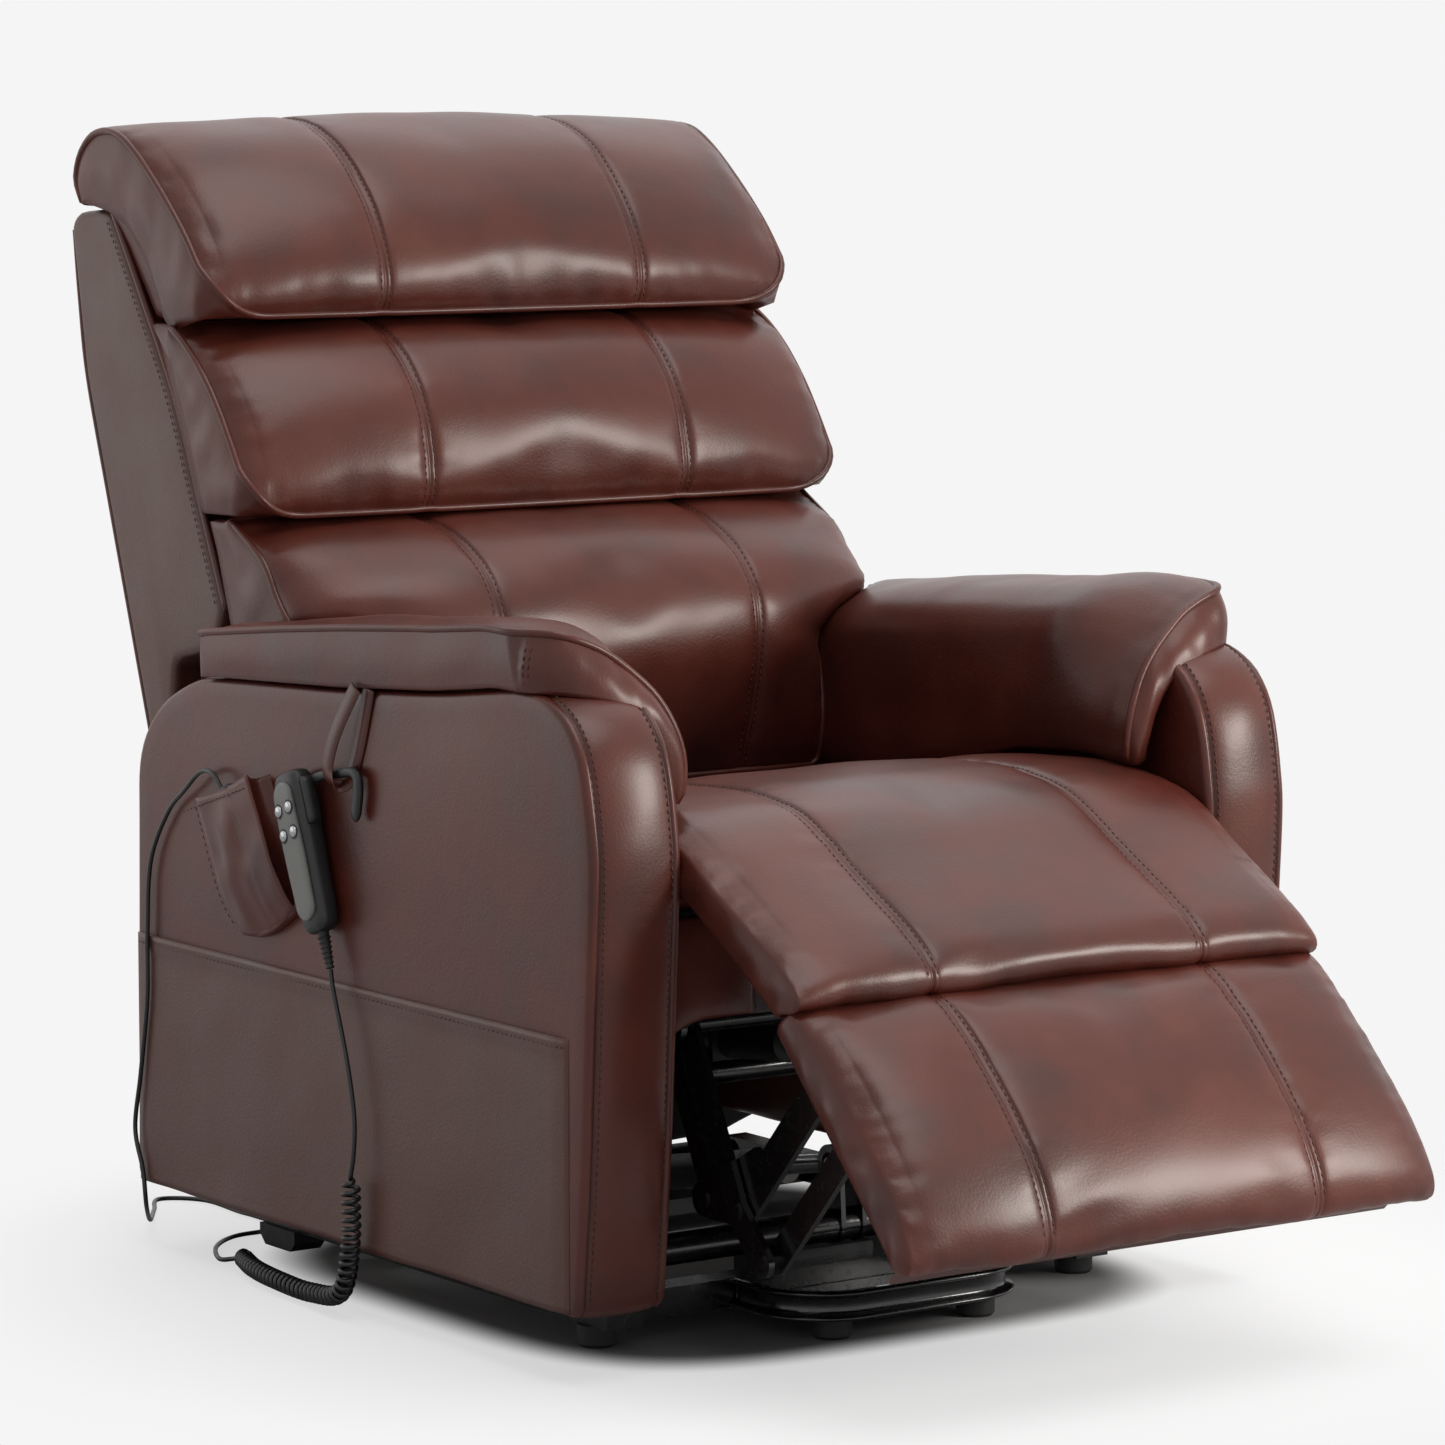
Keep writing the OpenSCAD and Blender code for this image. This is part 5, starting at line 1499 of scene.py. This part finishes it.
class RECLINER_OT_hand_control(bpy.types.Operator):
    """Adds the hand control with its face, buttons, hook and strain relief"""

    bl_idname = "recliner.hand_control"
    bl_label = "Hand control"

    def execute(self, context):
        zs = curve_through([(z, 0) for z, _, _ in HAND_SHAPE], 70)[:, 0]
        zs = np.unique(np.concatenate([zs, [0, 0.8, 2.4, 5, 144, 147.5, 149.4, 150]]))
        body = loft(
            "hand_control_body", [on_hand(hand_ring(z)) for z in zs], material("abs"), "chair", caps=2,
            axis=[0, 0.355, 0.935]
        )
        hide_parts("hand_body")
        rings = []
        outer = np.linspace(12, 141, 60)
        for z in outer:
            end = min(z - 12, 141 - z)
            half = 15.5 * math.sqrt(max(0.02, 1 - max(0, 1 - end / 13.0) ** 2)) if end < 13 else 15.5
            half *= 1 - 0.05 * math.cos((z - 12) / 129 * 2 * math.pi)
            x = face_line(z)
            ring = [(x + 1.6, -half, z), (x - 0.9, -half, z), (x - 1.7, -half + 1.0, z), (x - 1.9, -half * 0.5, z),
                    (x - 2.0, 0, z),
                    (x - 1.9, half * 0.5, z), (x - 1.7, half - 1.0, z), (x - 0.9, half, z), (x + 1.6, half, z)]
            rings.append(on_hand(ring))
        face = loft("hand_control_face", rings, material("grey_abs"), "chair", caps=1, axis=[0, 0.355, 0.935])
        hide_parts("hand_face")
        k = 0
        for row in (93, 116):
            for col in (-9, 9):
                k += 1
                profile = [(0.0, 5.3), (-1.2, 5.4), (-2.2, 5.2), (-2.9, 4.6), (-3.3, 3.4), (-3.5, 1.8)]
                base = face_line(row) - 0.7
                rings = []
                a = np.linspace(0, 2 * math.pi, 32, endpoint=False)
                for d, rr in [(3.0, 5.2)] + profile:
                    rings.append(
                        on_hand(np.column_stack([np.full(32, base + d), col + rr * np.cos(a), row + rr * np.sin(a)]))
                    )
                obj = loft(
                    f"hand_control_button_{k}", rings, material("chrome"), "button_" + "abcd"[k - 1], caps=2,
                    bulge=0.15, axis=[-1, 0, 0]
                )
                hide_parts(f"button_{k}")
                ring_path = on_hand(
                    np.column_stack(
                        [
                            np.full(33, face_line(row) - 1.7), col + 6.3 * np.cos(np.linspace(0, 2 * math.pi, 33)),
                            row + 6.3 * np.sin(np.linspace(0, 2 * math.pi, 33))
                        ]
                    )
                )
                bezel = tube(f"hand_control_bezel_{k}", ring_path, 0.75, material("abs"), "chair", 8, up=(1, 0, 0.01))
        hook_path = curve_through(
            [(99, 489), (80, 494.5), (52, 499), (36, 501.5), (27, 497), (26, 484), (29, 468), (30, 457)], 60
        )
        rings = []
        for i, (y, z) in enumerate(hook_path):
            s = i / 59
            t = hook_path[min(i + 1, 59)] - hook_path[max(i - 1, 0)]
            t /= np.linalg.norm(t)
            nrm = np.array([-t[1], t[0]])
            w = 4.4 + 2.0 * np.clip((s - 0.55) / 0.25, 0, 1)
            if s > 0.9:
                w *= math.sqrt(max(0.05, 1 - ((s - 0.9) / 0.1) ** 2))
            th = 3.7 if s < 0.9 else 3.7 * math.sqrt(max(0.05, 1 - ((s - 0.9) / 0.1) ** 2))
            a = np.linspace(0, 2 * math.pi, 16, endpoint=False)
            cx = np.sign(np.cos(a)) * np.abs(np.cos(a)) ** 0.7 * th
            cn = np.sign(np.sin(a)) * np.abs(np.sin(a)) ** 0.7 * w
            rings.append(np.column_stack([-ARM_OUT - 9.3 + cx, y + nrm[0] * cn, z + nrm[1] * cn]))
        hook = loft("hand_control_hook", rings, material("abs"), "chair", caps=2, axis=[0, 0, 0])
        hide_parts("hand_hook")
        clip = []
        for z in np.concatenate([[96, 96.8, 98.5, 101], np.linspace(104, 134, 8), [137, 139, 139.8, 140.2]]):
            end = min(z - 95.6, 140.6 - z)
            g = min(1.0, math.sqrt(max(0.05, end / 4)))
            ring = [(-21 + 1 * (1 - g), -22, z), (-21 + (1 - g) * 3, -26 * g - 22 * (1 - g), z),
                    (-19, -27.6 * g - 22 * (1 - g), z), (-14, -28.2 * g - 22 * (1 - g), z),
                    (-9, -27.6 * g - 22 * (1 - g), z), (-7 - (1 - g) * 3, -26 * g - 22 * (1 - g), z),
                    (-7 - (1 - g), -22, z)]
            clip.append(on_hand(ring))
        clip = loft("hand_control_clip", clip, material("abs"), "chair", caps=1, axis=[0, 0.355, 0.935])
        rings = []
        a = np.linspace(0, 2 * math.pi, 24, endpoint=False)
        zs = np.linspace(-34, 0.5, 90)
        for z in zs:
            share = (z + 34) / 34
            r = 3.1 + 2.3 * share
            if z < -2:
                r += 1.15 * max(0.0, math.sin((z + 2) / 4.6 * 2 * math.pi)) ** 0.6 * (0.75 + 0.4 * share)
            rings.append(on_hand(np.column_stack([-14 + r * np.cos(a), r * np.sin(a), np.full(24, z)])))
        relief = loft("hand_control_strain_relief", rings, material("rubber"), "chair", caps=1, axis=[0, 0.355, 0.935])
        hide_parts("hand_grommet")
        return {"FINISHED"}


# ---------------------------------------------------------------- pocket and strap
class RECLINER_OT_pocket(bpy.types.Operator):
    """Adds the side pocket with its turned hem, the control inside it and the strap that holds the hook"""

    bl_idname = "recliner.pocket"
    bl_label = "Pocket and strap"

    def execute(self, context):
        # the bag: an outer and an inner wall from the opening to the bottom seam
        leather = material("leather")
        rear = curve_through([(312, 447), (298, 420), (284, 391), (268, 360), (248, 333)], 30)
        front = curve_through([(190, 484), (166, 439), (148, 400), (132, 366)], 30)
        nu = 26
        deep = 27.0
        outer, inner = [], []
        for i in range(30):
            v = i / 29
            a, b = rear[i], front[i]
            for j in range(nu):
                u = j / (nu - 1)
                y, z = a * (1 - u) + b * u
                stand = (
                    deep * (0.42 + 0.58 * math.sin(math.pi * min(1, (0.12 + 0.88 * u))) ** 0.5) if u < 0.72 else deep
                )
                stand *= 1 - 0.55 * v**5
                stand *= min(1.0, (0.06 + u * 4.5)) ** 0.6
                fold = (
                    2.2 * wrinkle(y, z, 0, 30, 9) * (0.5 + v)
                    + 5.0 * math.exp(-(((u - 0.62 + 0.3 * v) / 0.1) ** 2)) * v * (1 - v) * 2
                )
                sag = -4.0 * math.sin(math.pi * u) * (1 - v) ** 3 - 14.0 * math.sin(math.pi * u) * v**4
                x = -ARM_OUT - 0.6 - stand - fold * min(1, u * 4)
                outer.append((x, y + 0.3 * sag, z + sag))
                inner.append((x + 2.0, y + 0.3 * sag, z + sag))
        bag = new_mesh("pocket_bag", outer + inner, thick_sheet(30, nu), leather, "chair")
        paint_hollow_shade(bag)
        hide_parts("pocket")
        # front gusset, folded inwards like a bellows
        verts = []
        for i in range(30):
            v = i / 29
            y, z = front[i]
            stand = deep * (1 - 0.55 * v**5)
            for j in range(12):
                u = j / 11
                tuck = 9.0 * math.sin(math.pi * u) * (1 - 0.6 * v)
                verts.append((-ARM_OUT - 0.8 - (stand - 1.2) * u, y + tuck * 0.8 + 1.2, z - tuck * 0.55))
        back_side = [(x, y + 1.6, z - 1.0) for x, y, z in verts]
        gusset = new_mesh("pocket_gusset", verts + back_side, thick_sheet(30, 12), leather, "chair")
        # bottom strip that closes the bag
        bottom = np.linspace(0, 1, 26)
        rings = []
        for u in bottom:
            y, z = rear[-1] * (1 - u) + front[-1] * u
            z -= 14.0 * math.sin(math.pi * u)
            stand = deep * 0.45 * min(1.0, (0.06 + u * 4.5)) ** 0.6
            ring = [(-ARM_OUT - 0.6, y, z + 6), (-ARM_OUT - 0.6, y, z + 0.5), (-ARM_OUT - stand * 0.5, y, z - 2.5),
                    (-ARM_OUT - 0.6 - stand, y, z - 1.0),
                    (-ARM_OUT - 0.8 - stand, y, z + 4), (-ARM_OUT - stand * 0.5, y, z + 5)]
            rings.append(ring)
        base = loft("pocket_bottom", rings, leather, "chair", caps=1)
        paint_hollow_shade(base)
        c, s = math.cos(math.radians(-34)), math.sin(math.radians(-34))
        rings = []
        for z in (-98, -97, -94.5, -80, -50, -20, -5, -3, -2.2):
            end = min(z + 98.6, -1.6 - z)
            g = min(0.0, -3 + min(3, end * 1.4))
            ring = []
            for a in np.linspace(0, 2 * math.pi, 28, endpoint=False):
                lx = -ARM_OUT - 14 + np.sign(math.cos(a)) * abs(math.cos(a)) ** 0.5 * (8.8 + g)
                ly = np.sign(math.sin(a)) * abs(math.sin(a)) ** 0.5 * (19.6 + g)
                ring.append((lx, 258 + ly * c - z * s, 462 + ly * s + z * c))
            rings.append(ring)
        control = loft("pocket_control_body", rings, material("abs"), "chair", caps=1, axis=[0, 0.56, 0.83])
        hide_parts("pocket_control")
        parts = []
        a, b = np.array([308, 444.0]), np.array([192, 479.0])
        line = np.array(
            [[-ARM_OUT - deep - 1.4, y, z - 7.0] for y, z in (a * (1 - t) + b * t for t in np.linspace(0, 1, 40))]
        )
        parts += stitches(line, np.tile([-1, 0, 0], (40, 1)), lift=0.6)
        edge = np.array(
            [
                [
                    -ARM_OUT - 0.6 - deep * (0.42 + 0.58 * 0.61) * (1 - 0.55 * (i / 29) ** 5) * 0.66 - 1.0,
                    rear[i][0] - 5.0, rear[i][1]
                ]
                for i in range(1, 29)
            ]
        )
        parts += stitches(edge, np.tile([-1, 0.2, 0], (28, 1)), lift=0.6)
        thread_piece("pocket_stitching", parts, "chair")
        # the strap: one strip of leather that goes down behind the hook's arm and up in front of it
        path = [(-1.6, 18, 578), (-1.7, 25, 555), (-1.8, 34, 528), (-2.0, 45, 502), (-3.6, 52, 490.5),
                (-9.3, 57, 486), (-15.0, 62, 490.5), (-16.8, 66, 504), (-15.6, 56, 532), (-12.0, 42, 558),
                (-8.0, 31, 578)]
        path = curve_through(path, 90)
        rings = []
        for i, p in enumerate(path):
            along = path[min(i + 1, 89)] - path[max(i - 1, 0)]
            along /= np.linalg.norm(along)
            across = np.array([0.0, 0.93, 0.36])
            across -= along * across.dot(along)
            across /= np.linalg.norm(across)
            face = np.cross(across, along)
            rings.append([
                tuple(np.array([-ARM_OUT, 0, 0]) + p + across * dy + face * dn)
                for dy,
                dn in ((-8.4, -0.5), (-9.0, 0), (-8.4, 0.9), (0, 1.25), (8.4, 0.9), (9.0, 0), (8.4, -0.5), (0, -1.0))
            ])
        strap = loft("hanger_strap_loop", rings, leather, "chair", caps=1, axis=[0, 0, 0])
        paint_hollow_shade(strap)
        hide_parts("hanger_strap")
        return {"FINISHED"}


# ---------------------------------------------------------------- steelwork and other rigid parts
FINISHES = {
    "black_paint": [
        "base_frame", "lift_links", "rear_lift_links", "mechanism_plates", "cross_tubes", "back_bracket",
        "leg_drive_link", "dogleg_link", "guide_link", "straight_link", "footrest_bracket",
    ],
    "zinc": ["base_pins", "pivot_pins"],
    "steel_rod": ["lift_rod", "back_rod", "leg_rod"],
    "rubber": ["front_feet", "rear_glides"],
    "abs": ["power_box", "control_box", "lift_motor", "back_motor", "leg_motor"],
    # the deck behind the seat and the underside of the footrest are covered with dust cloth
    "black_cloth": ["seat_box", "footrest_board"],
    "side_leather": ["footrest_flap"],
}


class RECLINER_OT_front_tray(bpy.types.Operator):
    """Adds the bent steel tray in front of the base: a channel with rolled flanges round a pressed plate"""

    bl_idname = "recliner.front_tray"
    bl_label = "Front tray"

    def execute(self, context):
        lo, hi = (np.array(c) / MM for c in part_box("front_loop"))
        half, front, back, r = hi[0] + 2, lo[1] - 6, hi[1], 74.0
        path = [(-half, back), (-half, back - 20), (-half, front + r)]
        path += [(-half + r - r * math.cos(a), front + r - r * math.sin(a)) for a in np.linspace(0.12, math.pi / 2, 12)]
        path += [(-x, y) for x, y in path[::-1]]
        path = evenly(np.array(path), 150)
        out = outward(path)
        out[0] = out[1] = (-1, 0)
        out[-1] = out[-2] = (1, 0)
        z0, z1 = lo[2], hi[2]
        section = [(-1.2, z0), (0, z0 + 1.4), (-1.2, z0 + 3.6), (-7.5, z0 + 5.4), (-8.6, z0 + 8), (-8.6, z1 - 8),
                   (-7.5, z1 - 5.4), (-1.2, z1 - 3.8), (0, z1 - 1.8), (-1.6, z1), (-12, z1), (-14.4, z1 - 2),
                   (-14.4, z0 + 8), (-14.4, z0)]
        rings = [[(p[0] + n[0] * d, p[1] + n[1] * d, z) for d, z in section] for p, n in zip(path, out)]
        rim = loft("front_tray_rim", rings, material("black_paint"), "base", caps=1)
        rings = []
        for k in range(75):
            a, b = path[k] + out[k] * -13.6, path[149 - k] + out[149 - k] * -13.6
            row = a[None] * (1 - np.linspace(0, 1, 24))[:, None] + b[None] * np.linspace(0, 1, 24)[:, None]
            dish = z0 + 6.0 + 2.2 * np.cos(np.linspace(-1, 1, 24) * math.pi / 2) ** 0.5
            rings.append([(x, y, z) for (x, y), z in zip(row, dish)] + [(x, y, z0 + 3.0) for x, y in row[::-1]])
        plate = loft("front_tray_plate", rings, material("black_paint"), "base", caps=1)
        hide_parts("front_loop")
        return {"FINISHED"}


class RECLINER_OT_dust_cover(bpy.types.Operator):
    """Adds the black dust cover across the back between the arms: stapled cloth that hangs almost to the floor"""

    bl_idname = "recliner.dust_cover"
    bl_label = "Dust cover"

    def execute(self, context):
        lo, hi = (np.array(c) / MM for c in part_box("rear_panel"))
        rings = []
        for x in np.linspace(lo[0], hi[0], 80):
            slot = max(0.0, 1 - (abs(x) / 70) ** 6)
            low = 34 + 2.0 * math.sin(x / 37) + 54 * min(1.0, slot * 3)
            face = []
            for z in np.linspace(low, 229, 34):
                fold = 1.6 * wrinkle(x, z, 0, 70, 21) + 1.2 * math.sin(x / 23) * (1 - (z - 34) / 200) ** 2
                face.append((hi[1] - 1.6 + fold, z))
            rings.append([(x, y, z) for y, z in face] + [(x, y - 2.2, z) for y, z in face[::-1]])
        cover = loft("dust_cover", rings, material("black_cloth"), "chair", caps=1)
        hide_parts("rear_panel")
        rings = []
        for x in np.linspace(-378, 378, 90):
            low = 34 + 27 * float(np.clip((abs(x) - 296) / 80, 0, 1)) ** 0.8
            face = [(444.5 + 1.3 * math.sin(x / 19) * (z - 76) / -40, z) for z in np.linspace(low, 76, 14)]
            rings.append([(x, y, z) for y, z in face] + [(x, y - 1.8, z) for y, z in face[::-1]])
        hem = loft("dust_cover_hem", rings, material("black_cloth"), "chair", caps=1)
        return {"FINISHED"}


class RECLINER_OT_steelwork(bpy.types.Operator):
    """Gives the frame's steel, plastic, rubber and cloth-covered parts their finishes"""

    bl_idname = "recliner.steelwork"
    bl_label = "Steelwork"

    def execute(self, context):
        for finish, names in FINISHES.items():
            for name in names:
                mesh = NODES[name].data
                mesh.materials.clear()
                mesh.materials.append(material(finish))
        return {"FINISHED"}


class RECLINER_PT_panel(bpy.types.Panel):
    """Buttons that make the chair piece by piece"""

    bl_label = "Lift recliner"
    bl_idname = "RECLINER_PT_panel"
    bl_space_type = "VIEW_3D"
    bl_region_type = "UI"
    bl_category = "Recliner"

    def draw(self, context):
        for group in (context.scene.recliner_finish, context.scene.recliner_sizes):
            for key in group.bl_rna.properties.keys():
                if key not in ("rna_type", "name"):
                    self.layout.prop(group, key)
        for operator in OPERATORS:
            self.layout.operator(operator.bl_idname)


OPERATORS = (
    RECLINER_OT_stage,
    RECLINER_OT_cords,
    RECLINER_OT_back_pillows,
    RECLINER_OT_seat,
    RECLINER_OT_footrest,
    RECLINER_OT_arms,
    RECLINER_OT_back_shell,
    RECLINER_OT_front_band,
    RECLINER_OT_hand_control,
    RECLINER_OT_pocket,
    RECLINER_OT_front_tray,
    RECLINER_OT_dust_cover,
    RECLINER_OT_steelwork,
)
CLASSES = (ReclinerFinish, ReclinerSizes, *OPERATORS, RECLINER_PT_panel)


def register():
    """Registers the classes and their settings."""
    for cls in CLASSES:
        bpy.utils.register_class(cls)
    bpy.types.Scene.recliner_finish = bpy.props.PointerProperty(type=ReclinerFinish)
    bpy.types.Scene.recliner_sizes = bpy.props.PointerProperty(type=ReclinerSizes)


def unregister():
    """Takes the classes and their settings out again."""
    del bpy.types.Scene.recliner_sizes
    del bpy.types.Scene.recliner_finish
    for cls in reversed(CLASSES):
        bpy.utils.unregister_class(cls)


def main():
    register()
    for operator in OPERATORS:
        group, name = operator.bl_idname.split(".")
        getattr(getattr(bpy.ops, group), name)()


if __name__ == "__main__":
    main()
